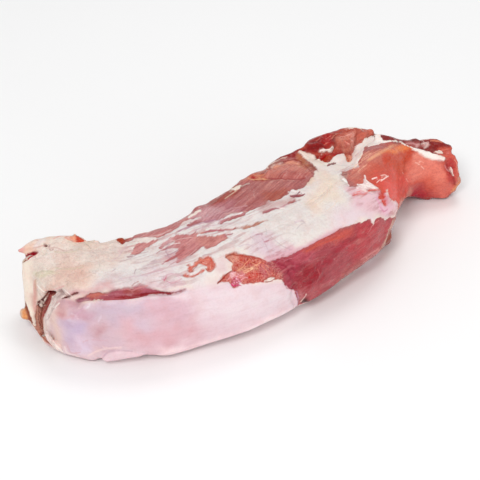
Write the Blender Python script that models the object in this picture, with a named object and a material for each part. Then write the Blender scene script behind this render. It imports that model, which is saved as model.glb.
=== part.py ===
"""A whole untrimmed pork tenderloin, lying flat, as one solid.

Units are metres, +Z is up, +X runs from the blunt fat-covered end to the ragged tail.
The muscles are lofted bodies along their own centrelines, fused and smoothed into one form.
Creases, swellings and small flaps of fat and meat are then worked into the surface.
"""

import math

import bmesh
import bpy
import numpy as np
from mathutils import Euler, Matrix, Vector, noise

MM = 0.001

# Driving sizes. The tables below are drawn in millimetres on a piece about 315 long;
# the finished piece is scaled as a whole to LENGTH.
LENGTH = 280.0
SOLID_TRIANGLES = 10400

# How finely the form is worked before its faces are thinned out.
RING_SIDES = 40
RING_STEP = 3.0
ROUNDING_RINGS = 5
FORM_VOXEL = 1.9
SOFTENING_PASSES = 5

# Natural unevenness of the skin: (size of the bumps, height), in millimetres.
BUMPS = ((24, 0.9), (9, 0.35))

# Points this near the board, in millimetres, lie on it.
FLAT_WITHIN = 0.05

# Each station is (x, y, half width, low, high, squareness, skew).
# x, y place the middle of the cross-section; low and high are heights above the board;
# squareness is a superellipse power; skew draws the front of the section back along X.
LOIN = (
    (-122, 11, 33, -4, 45, 3.9, 0.10),
    (-107, 3, 36, -4, 48, 4.0, 0.06),
    (-82, -5, 38.5, -4, 50, 3.7, 0),
    (-55, -8, 39, -4, 53, 3.3, 0),
    (-25, -7, 42, -4, 56, 3.2, 0),
    (5, -1, 44, -4, 58, 3.1, 0),
    (38, 9, 45, -4, 59, 3.0, 0),
    (69, 18, 45, -4, 58, 2.8, 0),
    (92, 27, 41, -4, 56, 2.7, 0),
    (107, 36, 33, -4, 52, 2.6, 0),
    (117, 44, 25, -3, 48, 2.5, 0),
)
TAIL = (
    (96, 50, 20, 0, 50, 2.3, 0),
    (114, 53, 19, -3, 46, 2.4, 0),
    (132, 52, 17, -3, 41, 2.5, 0),
    (150, 47, 17, -3, 38, 2.6, 0),
    (167, 40, 14, -3, 33, 2.6, 0),
)
KNUCKLE = (
    (74, 10, 13, 20, 58, 2.3, 0),
    (96, 22, 16, 10, 60, 2.3, 0),
    (114, 33, 16, 5, 56, 2.3, 0),
    (130, 42, 14, 2, 49, 2.3, 0),
    (146, 43, 11, 2, 41, 2.3, 0),
)
HEAD_LOBE = (
    (36, 36, 12, 30, 57, 2.2, 0),
    (60, 45, 14, 20, 60, 2.2, 0),
    (80, 50, 15, 10, 61, 2.2, 0),
    (98, 52, 14, 8, 59, 2.2, 0),
    (114, 55, 11, 8, 54, 2.2, 0),
)
BACK_LIP = (
    (-124, 38, 6, 32, 45, 2.2, 0),
    (-108, 33, 6, 35, 48, 2.2, 0),
    (-92, 27, 6, 37, 49, 2.2, 0),
    (-78, 22, 4, 40, 49, 2.2, 0),
)

# Small flaps and knobs fused to the form: (centre, radii, turn about Z, tilt about Y in degrees).
FLAPS = (
    ((-98, 30, 47), (8, 4, 3), -12, -8),
    ((-74, 17, 50), (5, 3.2, 3), 20, -15),
    ((-119, 41, 43), (13, 5.5, 3.4), -27, -8),
    ((-135.5, 17, 15), (5, 5.5, 6.5), 0, 15),
    ((96, -5, 10), (6, 4.5, 8), 30, 0),
    ((170, 33, 17), (5, 5, 6), 0, 0),
    ((169, 42, 27), (6, 6, 5), 0, 20),
    ((158, 35, 7), (8, 7, 7), 0, 0),
    ((88, 56, 50), (11, 7, 8), 15, 0),
    ((66, 49, 52), (9, 6, 7), 20, 0),
)

# Creases pressed into the surface: (half width, depth, points along the crease).
CREASES = (
    (3.0, 5.0, ((-120, -15, 39), (-113, -18, 43), (-101, -24, 47), (-86, -33, 48), (-74, -39, 48))),
    (2.6, 3.5, ((-74, -39, 48), (-64, -43, 47), (-54, -46, 46))),
    (3.4, 5.5, ((-123, -4, 41), (-129, 1, 37), (-133, 5, 29), (-134, 8, 18), (-132, 6, 8), (-128, 0, 1))),
    (2.6, 4.0, ((-133, 40, 37), (-128, 35, 41), (-121, 32, 44))),
    (2.6, 2.5, ((-3, -41, 50), (5, -44, 42), (9, -45, 32), (7, -45, 21), (10, -43, 8))),
    (3.4, 3.0, ((48, 34, 59), (59, 39, 60), (66, 34, 59), (72, 26, 59), (80, 22, 59))),
    (3.4, 3.0, ((80, 22, 59), (90, 33, 57), (100, 43, 56), (112, 48, 54), (122, 52, 47))),
    (3.0, 2.4, ((122, 52, 47), (138, 52, 42), (152, 45, 38), (163, 38, 33))),
    (3.4, 3.0, ((121, 15, 6), (123, 20, 20), (126, 25, 32), (131, 30, 38))),
)

# Broad swellings (positive) and hollows (negative): (centre, reach, height).
SWELLINGS = (
    ((-26, -38, 50), 9, -2.2),
    ((-12, -41, 48), 8, -1.8),
    ((-118, -22, 6), 7, 1.6),
    ((-101, -31, 4), 7, 1.4),
    ((-109, -29, 3), 4, -2.2),
    ((-88, -43, 26), 18, 1.2),
    ((-40, -49, 26), 20, 0.8),
    ((-60, 6, 54), 16, -1.6),
    ((-104, 6, 50), 14, 1.2),
    ((30, 36, 58), 14, 1.4),
    ((60, -18, 44), 24, 1.2),
    ((100, 8, 34), 12, 1.4),
    ((152, 34, 20), 9, 1.2),
)


def smooth_stations(stations, step):
    """Rows of the station table at about every step along its centreline, on a Catmull-Rom curve."""
    rows = np.array(stations, float)
    gaps = np.linalg.norm(np.diff(rows[:, :2], axis=0), axis=1)
    padded = np.vstack([2 * rows[0] - rows[1], rows, 2 * rows[-1] - rows[-2]])
    made = []
    for i, gap in enumerate(gaps):
        p0, p1, p2, p3 = padded[i : i + 4]
        count = max(1, round(gap / step))
        for t in np.arange(count) / count:
            made.append(
                0.5
                * (
                    2 * p1
                    + (p2 - p0) * t
                    + (2 * p0 - 5 * p1 + 4 * p2 - p3) * t**2
                    + (3 * p1 - p0 - 3 * p2 + p3) * t**3
                )
            )
    made.append(rows[-1])
    return np.array(made)


def ring_points(row, swell=1.0, push=0.0):
    """One cross-section: a superellipse standing on edge, across Y."""
    x, y, half_width, low, high, power, skew = row
    middle, half_height = (low + high) / 2, (high - low) / 2
    points = []
    for i in range(RING_SIDES):
        turn = 2 * math.pi * i / RING_SIDES
        a, b = math.cos(turn), math.sin(turn)
        reach = swell / (abs(a) ** power + abs(b) ** power) ** (1 / power)
        across = half_width * a * reach
        up = middle + half_height * b * reach
        points.append(Vector((x + push - skew * across, y + across, up)) * MM)
    return points


def muscle(stations, round_start, round_end):
    """A closed lofted body through the stations, each end rounded over the given length."""
    rows = smooth_stations(stations, RING_STEP)
    rings = [ring_points(row) for row in rows]
    for end, reach in ((0, round_start), (-1, round_end)):
        sign = -1 if end == 0 else 1
        for k in range(1, ROUNDING_RINGS + 1):
            turn = 0.5 * math.pi * k / (ROUNDING_RINGS + 0.35)
            ring = ring_points(rows[end], math.cos(turn), sign * reach * math.sin(turn))
            rings.insert(0, ring) if end == 0 else rings.append(ring)
    mesh = bmesh.new()
    loops = [[mesh.verts.new(p) for p in ring] for ring in rings]
    for one, two in zip(loops, loops[1:]):
        for i in range(RING_SIDES):
            j = (i + 1) % RING_SIDES
            mesh.faces.new((one[i], one[j], two[j], two[i]))
    mesh.faces.new(loops[0])
    mesh.faces.new(loops[-1])
    bmesh.ops.recalc_face_normals(mesh, faces=mesh.faces)
    data = bpy.data.meshes.new("muscle")
    mesh.to_mesh(data)
    mesh.free()
    return data


def flap(centre, radii, turn, tilt):
    """A small rounded flap or knob."""
    mesh = bmesh.new()
    place = Matrix.Translation(Vector(centre) * MM)
    place @= Euler((0, math.radians(tilt), math.radians(turn)), "XYZ").to_matrix().to_4x4()
    place @= Matrix.Diagonal((*(r * MM for r in radii), 1))
    bmesh.ops.create_icosphere(mesh, subdivisions=3, radius=1.0, matrix=place)
    data = bpy.data.meshes.new("flap")
    mesh.to_mesh(data)
    mesh.free()
    return data


def fused(pieces):
    """All pieces as one mesh with soft valleys where they meet."""
    mesh = bmesh.new()
    for piece in pieces:
        mesh.from_mesh(piece)
    data = bpy.data.meshes.new("tenderloin")
    mesh.to_mesh(data)
    mesh.free()
    body = bpy.data.objects.new("form", data)
    bpy.context.scene.collection.objects.link(body)
    remesh = body.modifiers.new("fuse", "REMESH")
    remesh.mode = "VOXEL"
    remesh.voxel_size = FORM_VOXEL * MM
    smooth = body.modifiers.new("soften", "SMOOTH")
    smooth.factor = 0.5
    smooth.iterations = SOFTENING_PASSES
    return body


def evaluated(body):
    graph = bpy.context.evaluated_depsgraph_get()
    return bpy.data.meshes.new_from_object(body.evaluated_get(graph))


def distance_to_path(points, path):
    """Shortest distance from every point to the polyline."""
    best = np.full(len(points), np.inf)
    path = np.array(path, float)
    for a, b in zip(path, path[1:]):
        along = np.clip((points - a) @ (b - a) / ((b - a) @ (b - a)), 0, 1)
        best = np.minimum(best, np.linalg.norm(points - a - along[:, None] * (b - a), axis=1))
    return best


def work_surface(mesh):
    """Press in the creases, raise the swellings, and leave the skin gently uneven."""
    points = np.array([v.co for v in mesh.vertices]) / MM
    normals = np.array([v.normal for v in mesh.vertices])
    lift = np.zeros(len(points))
    for half_width, depth, path in CREASES:
        lift -= depth * np.exp(-((distance_to_path(points, path) / half_width) ** 2))
    for centre, reach, height in SWELLINGS:
        away = np.linalg.norm(points - np.array(centre, float), axis=1)
        lift += height * np.exp(-((away / reach) ** 2))
    for size, height in BUMPS:
        lift += height * np.array([noise.noise(Vector(p) / size) for p in points])
    points += normals * lift[:, None]
    mesh.vertices.foreach_set("co", (points * MM).ravel())
    mesh.update()


def flattened(mesh):
    """The underside pressed flat where the meat lies on the board."""
    points = np.array([v.co for v in mesh.vertices])
    points[:, 2] = np.maximum(points[:, 2], 0)
    mesh.vertices.foreach_set("co", points.ravel())
    mesh.update()
    return mesh


def thinned(mesh):
    """The same surface in SOLID_TRIANGLES faces, closest together where it bends most."""
    body = bpy.data.objects.new("fine_form", mesh)
    bpy.context.scene.collection.objects.link(body)
    mesh.calc_loop_triangles()
    thin = body.modifiers.new("fewer_faces", "DECIMATE")
    thin.ratio = SOLID_TRIANGLES / len(mesh.loop_triangles)
    thin.use_collapse_triangulate = True
    result = evaluated(body)
    bpy.data.objects.remove(body)
    return result


def settle(mesh):
    """Truly flat underneath, scaled to LENGTH, with the box's bottom centre at the origin."""
    points = np.array([v.co for v in mesh.vertices])
    points[points[:, 2] < FLAT_WITHIN * MM, 2] = 0
    low, high = points.min(0), points.max(0)
    points -= [(low[0] + high[0]) / 2, (low[1] + high[1]) / 2, 0]
    factor = LENGTH * MM / (high[0] - low[0])
    mesh.vertices.foreach_set("co", (points * factor).ravel())
    mesh.update()


def raw_meat():
    """Pale red wet meat."""
    material = bpy.data.materials.new("raw_pork")
    material.use_nodes = True
    shader = material.node_tree.nodes["Principled BSDF"]
    shader.inputs["Base Color"].default_value = (0.62, 0.23, 0.19, 1.0)
    shader.inputs["Roughness"].default_value = 0.4
    return material


def main():
    for old in list(bpy.data.objects):
        bpy.data.objects.remove(old)
    pieces = [
        muscle(LOIN, 12, 12),
        muscle(TAIL, 10, 6),
        muscle(KNUCKLE, 10, 10),
        muscle(HEAD_LOBE, 10, 10),
        muscle(BACK_LIP, 8, 8),
    ]
    pieces += [flap(*row) for row in FLAPS]
    form = fused(pieces)
    mesh = evaluated(form)
    bpy.data.objects.remove(form)
    work_surface(mesh)
    mesh = thinned(flattened(mesh))
    settle(mesh)
    mesh.name = "tenderloin"
    mesh.materials.clear()
    mesh.materials.append(raw_meat())
    mesh.shade_smooth()
    meat = bpy.data.objects.new("tenderloin", mesh)
    bpy.context.scene.collection.objects.link(meat)


main()
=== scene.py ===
"""Looks of the raw pork tenderloin: its fine surface, colours and wetness, a pale floor, light and camera.

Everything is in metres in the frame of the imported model. The patches of fat, silverskin and meat are
drawn as outlines in the photograph's 480 x 480 pixel frame, as seen from the fixed reference view that
the camera starts from. Where the surface faces away from that view, simple rules take over.
"""

import math

import bmesh
import bpy
import numpy as np
from mathutils import Matrix, Vector, noise
from mathutils.bvhtree import BVHTree


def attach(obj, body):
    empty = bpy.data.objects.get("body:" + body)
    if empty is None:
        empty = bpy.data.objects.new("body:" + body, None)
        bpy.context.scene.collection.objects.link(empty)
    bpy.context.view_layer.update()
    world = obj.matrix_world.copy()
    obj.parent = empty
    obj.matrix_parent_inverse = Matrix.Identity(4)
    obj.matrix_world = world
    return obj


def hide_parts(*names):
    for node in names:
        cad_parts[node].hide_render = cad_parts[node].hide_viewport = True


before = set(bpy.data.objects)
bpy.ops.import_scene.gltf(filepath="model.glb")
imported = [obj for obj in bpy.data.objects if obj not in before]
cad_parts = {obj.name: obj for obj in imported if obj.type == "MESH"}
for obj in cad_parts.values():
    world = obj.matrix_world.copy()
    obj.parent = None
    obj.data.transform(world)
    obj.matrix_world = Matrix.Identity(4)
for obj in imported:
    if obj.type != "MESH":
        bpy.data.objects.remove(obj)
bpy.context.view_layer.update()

# The reference view: where it looks from and at, its lens, and the metres that one pixel spans.
AZIMUTH = math.radians(-26.5)
ELEVATION = math.radians(35.0)
TARGET = np.array((-0.0155, 0.0016, 0.0249))
DISTANCE = 0.889
LENS = 122.0
SENSOR = 36.0
PICTURE = 480
FOCAL = LENS / SENSOR * PICTURE
PIXEL = DISTANCE / FOCAL

# How finely the surface is made.
SKIN_VOXEL = 0.00060
SKIN_TRIANGLES = 196000
MM = 0.001

# What the wet surface mirrors of the pale room, which its own colours leave out, and the darkest colour.
HAZE = 0.031
DARKEST = 0.002


def colour(red, green, blue):
    """A colour seen as 0 to 255 on screen, as the surface's own colour in linear light."""
    parts = [c / 255 for c in (red, green, blue)]
    light = [c / 12.92 if c <= 0.04045 else ((c + 0.055) / 1.055) ** 2.4 for c in parts]
    return np.maximum(np.array(light) - HAZE, DARKEST)


def points_in(text):
    """The points of a line or outline that is written as x,y x,y and so on."""
    return [tuple(float(part) for part in word.split(",")) for word in text.split()]


def rows_in(text):
    """The rows of a written table, each as its plain numbers and its points.

    An indented line goes on with the row above it, and a line that starts with # is a comment.
    """
    rows = []
    for line in text.strip().splitlines():
        if line.startswith(" "):
            rows[-1] += line
        elif not line.startswith("#"):
            rows.append(line)
    made = []
    for row in rows:
        numbers = [float(word) for word in row.split() if "," not in word]
        made.append((numbers, points_in(" ".join(word for word in row.split() if "," in word))))
    return made


# The middle line of the piece seen from above, in millimetres: the fibres run along it.
MIDDLE_LINE = points_in("""
-150,4 -135,1 -111,-7 -88,-14 -64,-17 -38,-16 -11,-11 18,-2 46,7 70,15 94,21 118,23 150,19
""")

# How far the meat fibres drift across the piece, in millimetres, by the distance along it.
FIBRE_DRIFT = ((0, 0), (95, 42), (125, 54), (190, 68), (330, 72))

# ---------------------------------------------------------------------------------------------
# Outlines in photograph pixels
# ---------------------------------------------------------------------------------------------

# The outer edge of the piece, and how far inside it the form stays to leave room for the relief.
OUTLINE_INSET = 0.7
OUTLINE = points_in("""
18,250.8 22,248 28.3,243.4 35.4,240 42.6,238.4 50,236.6 58.3,236 66.9,236.4 71,236.4 73.6,234.8 75.3,233.4
77,235.7 80.4,237.2 83.3,238.7 86,241.4 89.7,242.8 93,242.4 94,240.6 95.6,241.4 97,240.9 98.2,242.6
101,243.2 106,242.6 112,240.8 115.5,239.6 118.6,237.8 123.2,237.8 125,240.2 126.2,242.9 129.4,241.5
132,238.4 133.6,235.8 138.6,233.8 147.8,232 153.2,230 162.5,227.3 170,224.2 178,220.8 184,217.2 190,213.4
192.6,210 194.6,207.6 199,205.6 206,204 210,201 215,198 220,195 225,192 229,190 232,187 237,183 240,180
245,177 250,174 256,171.5 262,170 266,168 270,163 274,160 280,156 285,154.5 291,152.5 297,149 303,146
307,141 312,138 318,135.5 325,133 332,131 337,130 340,128.5 345,127.5 352,127 358,127.5 365,128.5 370,130
373,132.5 375,134 379,134 385,134.5 392,136 397,138 407,139.5 413,138 417,138 420,139.5 427,138.5 438,138.5
441,141 446,143 450,144 453,146 452,152 455,154.5 457,158 458,163 459,172 460,176 462,181 461,184 458,187
457,191 452,194 449,197 446,199 440,199 433,198.5 430,200 426,200.5 421,199.5 416,198 408,197.5 404,201
400,208 398,211 396.3,215 396,220 392.4,228.6 392.8,236.8 391,241.4 388,245 383.6,247.7 379,253.2
372.7,258.2 366.4,262.3 361,266.8 351.8,273.2 342.7,279.5 333.6,286.8 324.5,293.2 315.5,298.6 309,301.8
304.5,303.2 298,305.9 290,310.6 280,316 270,320.6 260,325.4 250,330 240,333.6 230,337 220,340 210,343
200,346.2 190,349.5 180,352.4 172,354.5 165,355.5 157,355 150,354.2 145,354.5 135,356 128,357 120,358.5
112,360 106,360 103,358.4 100,358.2 95,360 90,360 84,358.4 78,357 70,355 65,354 60,351.4 55,349 50,346.6
45,343 41,338 38,334 35.6,330 32.6,326 29.7,321.4 27.6,320 24.7,319.4 21.9,318.3 20.4,314.7 20,311
21.6,308.4 24.2,308.4 25,304 24.7,300.4 24.4,295.4 23.3,284 22.2,273.7 22.4,265 22,262 24,259.2 28.3,255.7
26.9,254.4 22.6,252.8
""")

# All that is white: fat cap, silverskin, veil, side fat and the seam along the tail.
FAT = points_in("""
10,236 20,232 60,226 100,230 122,234 128,243 132,240.5 136,238.5 142,237.6 150,237.2 157,238.6 161,237.6
167,234.6 174,230.8 179,227.2 183,223 190,220.2 197,218 203,216.8 198,220 192,222.6 187,225.6 190,226.6
196,224.6 203,222.8 210,222.4 216,221 222,219 228,216.2 236,214 243,213 236,216 228,218.5 221,221.5 215,225
222,224 228,221.6 236,219 243,216.5 246,214 250,211 258,207.5 266,204.5 268,200.5 273,202.5 280,199.5
286,196 290,192 291,190 297,190.4 302,188.2 307,184.6 309.6,181.4 311,178.8 314,177 314,173 316,171.5
318.5,172.5 316.4,168.8 311.4,164 306,160 301,155 298.6,151.2 303,151 309.5,153.4 316,156.6 322,160.4
325,162.6 328,162.4 332,159.6 335.6,157 339,154.4 343.6,153.2 346,156.4 347.8,160.6 350,162 351.4,159.6
352.6,155 354.8,149 357,144.5 361,143 363.5,139.5 366,138.3 371,136.5 374,135 376,128 380,128 381,138
384,141 390,140.3 396,141 402,142.4 410,146.4 416,148 424,150 432,153 440,155.5 446,157.5 444,161 436,160.4
428,159 421,155 415,151 408,147.4 400,143.3 392,142.5 384,143.5 376,145.5 370,146.8 365,147 364,150 363,154
361,158.5 358,163.5 357.5,166.5 352,169 347,171 344,172.5 343.5,177 346,180 349,186 353,187 357,186.3
359,184.5 363.5,182.5 363.5,176.5 366,180 371,183.5 376.5,187 379,190 383,195.5 385.5,191 387,190 389,196
391,200 396,201.5 397.5,205 397.5,209.5 395.5,213 394,216.5 390,217.5 385,220 381,217 378,218 374.5,219.5
372.5,227 371,221 369,219.5 364,221 360,223 353,224 347,226.5 340,228.5 333,233 325,237.5 315,242 307,246
300,250 293,253.5 286,256 280,257.5 274,260 270,261.5 275,268 279,274 281,279 283,281 285,286 288,289
293,290 295,293 297,298 297.5,304 295,309 300,335 200,385 60,385 0,345 0,250
""")

# Openings in the white layer, where meat shows, and islands of white on the meat. Islands marked
# below are painted highlights.
WINDOWS = rows_in("""
# upper
138.5,241.8 139,244 146,243.3 152,241.8 156.5,240.2 157.8,237.5 158.5,239.5 155,243.5 150,246.6 145.4,249
    141.6,252.6 137.4,254.4 130.8,255.2 133.6,250.5 136.5,245.5
# large
158.6,247.6 162,243.8 167,240.6 171.6,237.4 178,235.2 188,234.3 197,232.8 206,231.4 216,230.5 225,229.6
    234,228.8 240,227.8 233,230.4 224,231.5 214,232.2 205,233.5 198,235.5 199,236.8 210,236.6 218,236.2
    224,235.2 232,234.6 227,236.6 228.5,239 224,241 219.6,243 216.4,246 212,248 206.8,248.8 203,246.8
    200,249.2 194,253.7 188.6,256.8 184,260 179,263.4 175.6,262.3 178.4,258 173,259.6 166,262.3 164,261
    170,258 174.6,254.6 178,250.6 176.5,248.2 169,248.3 162.5,251 160.6,249.6 164,247.6 160,249
# ring
187.6,268.4 187,265.6 189.6,264.4 192.6,265.6 195.4,262 198.4,260.4 199,257.4 203,258.6 207,256.8
    211.4,257.2 213.6,261 215.2,266 213,270 209.4,272 206.4,270.6 207.4,268.4 205.8,265.8 202.4,265.8
    199,264.6 196.4,267 193.8,269.4 192.4,272.4 189.4,272.8 188,270.8
# ring foot
182,276 185,274.5 190,275.5 195,274.5 199,272.5 202,270.3 204.5,269.8 203.5,271.6 200,274 196,276.2 190,278
    185,277.5
# orange
225,256.5 228,254 234,252.5 240,254.2 250,256.2 258,258.4 265,260.8 271,262.2 276,266 279.5,272 282,279
    276,279.3 270,282 262,281.8 250,283.3 243,284 237,281.5 232,281 226,281.8 218,283.5 217,282.3 222,277.5
    226,273.2 231.5,271 231,268 232,264 228,260.5
# orange drip
229.6,281 236,280 240,282 238.4,286 236,287.2 233,288 230,285
# slit
76,300.5 79,297.8 85,296.4 90,293.6 97,292 103,293.4 108,293 114,290 120,288.6 126,287.8 132,288.3 136,286.5
    141,285.2 146,287 152,288.8 158,290.6 166,291.6 175,291.8 182,290.3 185,289.3 180,292.4 172,293.6
    160,293.4 150,293.8 143,296 132,297.5 120,298.4 108,299 98,298.5 90,299.2 84,300.8 79,302
# streak right
240,228.5 246,225.5 252,225.3 256,222.5 262,221.5 268,221.3 262,223.3 257,226.2 250,228.2 244,229.6
    236,229.8 231,230.4
# streak high
263,213.2 267,210.6 273,209.2 279,208.8 273,210.8 267,212.8
# notch
290,196.4 294,196.2 297.4,193.4 298.4,195.4 303,194.8 302.4,196.6 298,197.6 293,197.8
# below notch
288,204 294,201.5 301,199.5 296,202.5
# star slit
326.6,166.4 328.4,164.2 335.4,163.8 335.2,164.8 329.6,165.8
# star bits
342,173 345.4,173 344.6,175 343.4,176.6 344.6,178 342.4,178
# veil left
352.4,195.6 356.4,193.4 359.6,194.2 366,193.8 361,195.2 355,196
# veil top
367,191.2 370,189.8 375,189.8 374.5,191 370,191.8
# veil spot
377.5,198 379.5,195 383.5,195.3 384,199 380,199.8
# veil low
381,200.5 384.5,201 386.5,205.5 384.5,206.5
# end fold
45.6,292.4 49,291.2 56.6,291 56,293.6 52,297 50.2,303 47,310.6 43.8,317 43.2,325 43.8,331 45,336.4
    47.6,341.6 53.6,348 50,351 43,344.6 37.6,338 36,330.4 36,322 35.4,315 36.3,309 38,304 38.4,299.6 42,297
# fold line
62.4,299 65,296.6 69,295.4 73.5,293.4 77,292 77.6,293.2 74,295 69,297.4 65.6,298.8
# lip slit
20.6,263.4 24,257 28,253.6 33,251.8 36.4,251.2 38.6,252.6 34.4,255.6 29.4,259.4 25,262.4
# lip dot
43.8,246.6 45.6,245.4 48.4,245.6 48.4,246.8 46,247.2
# left edge
12,306 24,294 26.6,303 29.6,312 33.6,324 34,329 12,326
# tab back
70.4,239.4 73,234 76,230 80,233 84.4,241.6 82,243 79.6,243 76,243.6 72.6,242
# tab middle
116.4,239.8 118,236.6 124,236.6 125.8,242 122.2,244.8 119,242.4
""")
# head top: a painted highlight along the top edge of the head lobe
# strip blob: a painted highlight on the back strip
# strip dot: a painted highlight on the back strip
# tail pale: a painted glint on the ragged tail end
# tail white: a painted highlight on the tail's white seam
ISLANDS = rows_in("""
# in large
166,251 170,249.2 176,249.6 176.5,251.5 172,254.2 166.5,256.5
# head fleck
319.6,151 322.6,149 327,148.8 330,147.6 332.4,146.4 333.6,148 331.8,150.6 327,151 322.8,152.2
# head top
343,124 344,127.6 350,129.4 357,129.2 363,128.6 366,124
# back sliver
231,190 236,187 241,185.8 239,189.6 234,191
# back film
265,167.6 271,163.6 281,160.6 283.4,161.4 276,164.4 269,167.6
# back thin
188,218 194,213 201,210 200,212.4 195,215.4 190,218.4
# strip blob
422.5,143 425,141.8 429,142.6 429,145.4 426,148 423,146
# strip dot
416,144.8 418.5,144 419.6,146 417,147.4
# tail white
434,151.3 438,150.2 441,151.2 443,153.3 438,152.8
# tail pale
449.5,170.5 451,167.6 453,170 453.5,175.5 451,174
# orange lip
263.4,281 267,278.4 271.6,277 275,277.2 272,279.8 267.6,281.4
# pleat
37,287 41,288 46.6,292.6 44,296.2 40,299.4 37.4,302 36.6,296
# lace
44.4,299.4 46.4,296.2 46.8,298 44.6,301.4
# lace low
40.6,303 43,304.6 42.4,306.4 39.6,304.6
# arm strip
163.5,247 168,244.6 174,242.2 176.4,243 172,245 168,246 164.5,247.8
""")
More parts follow.
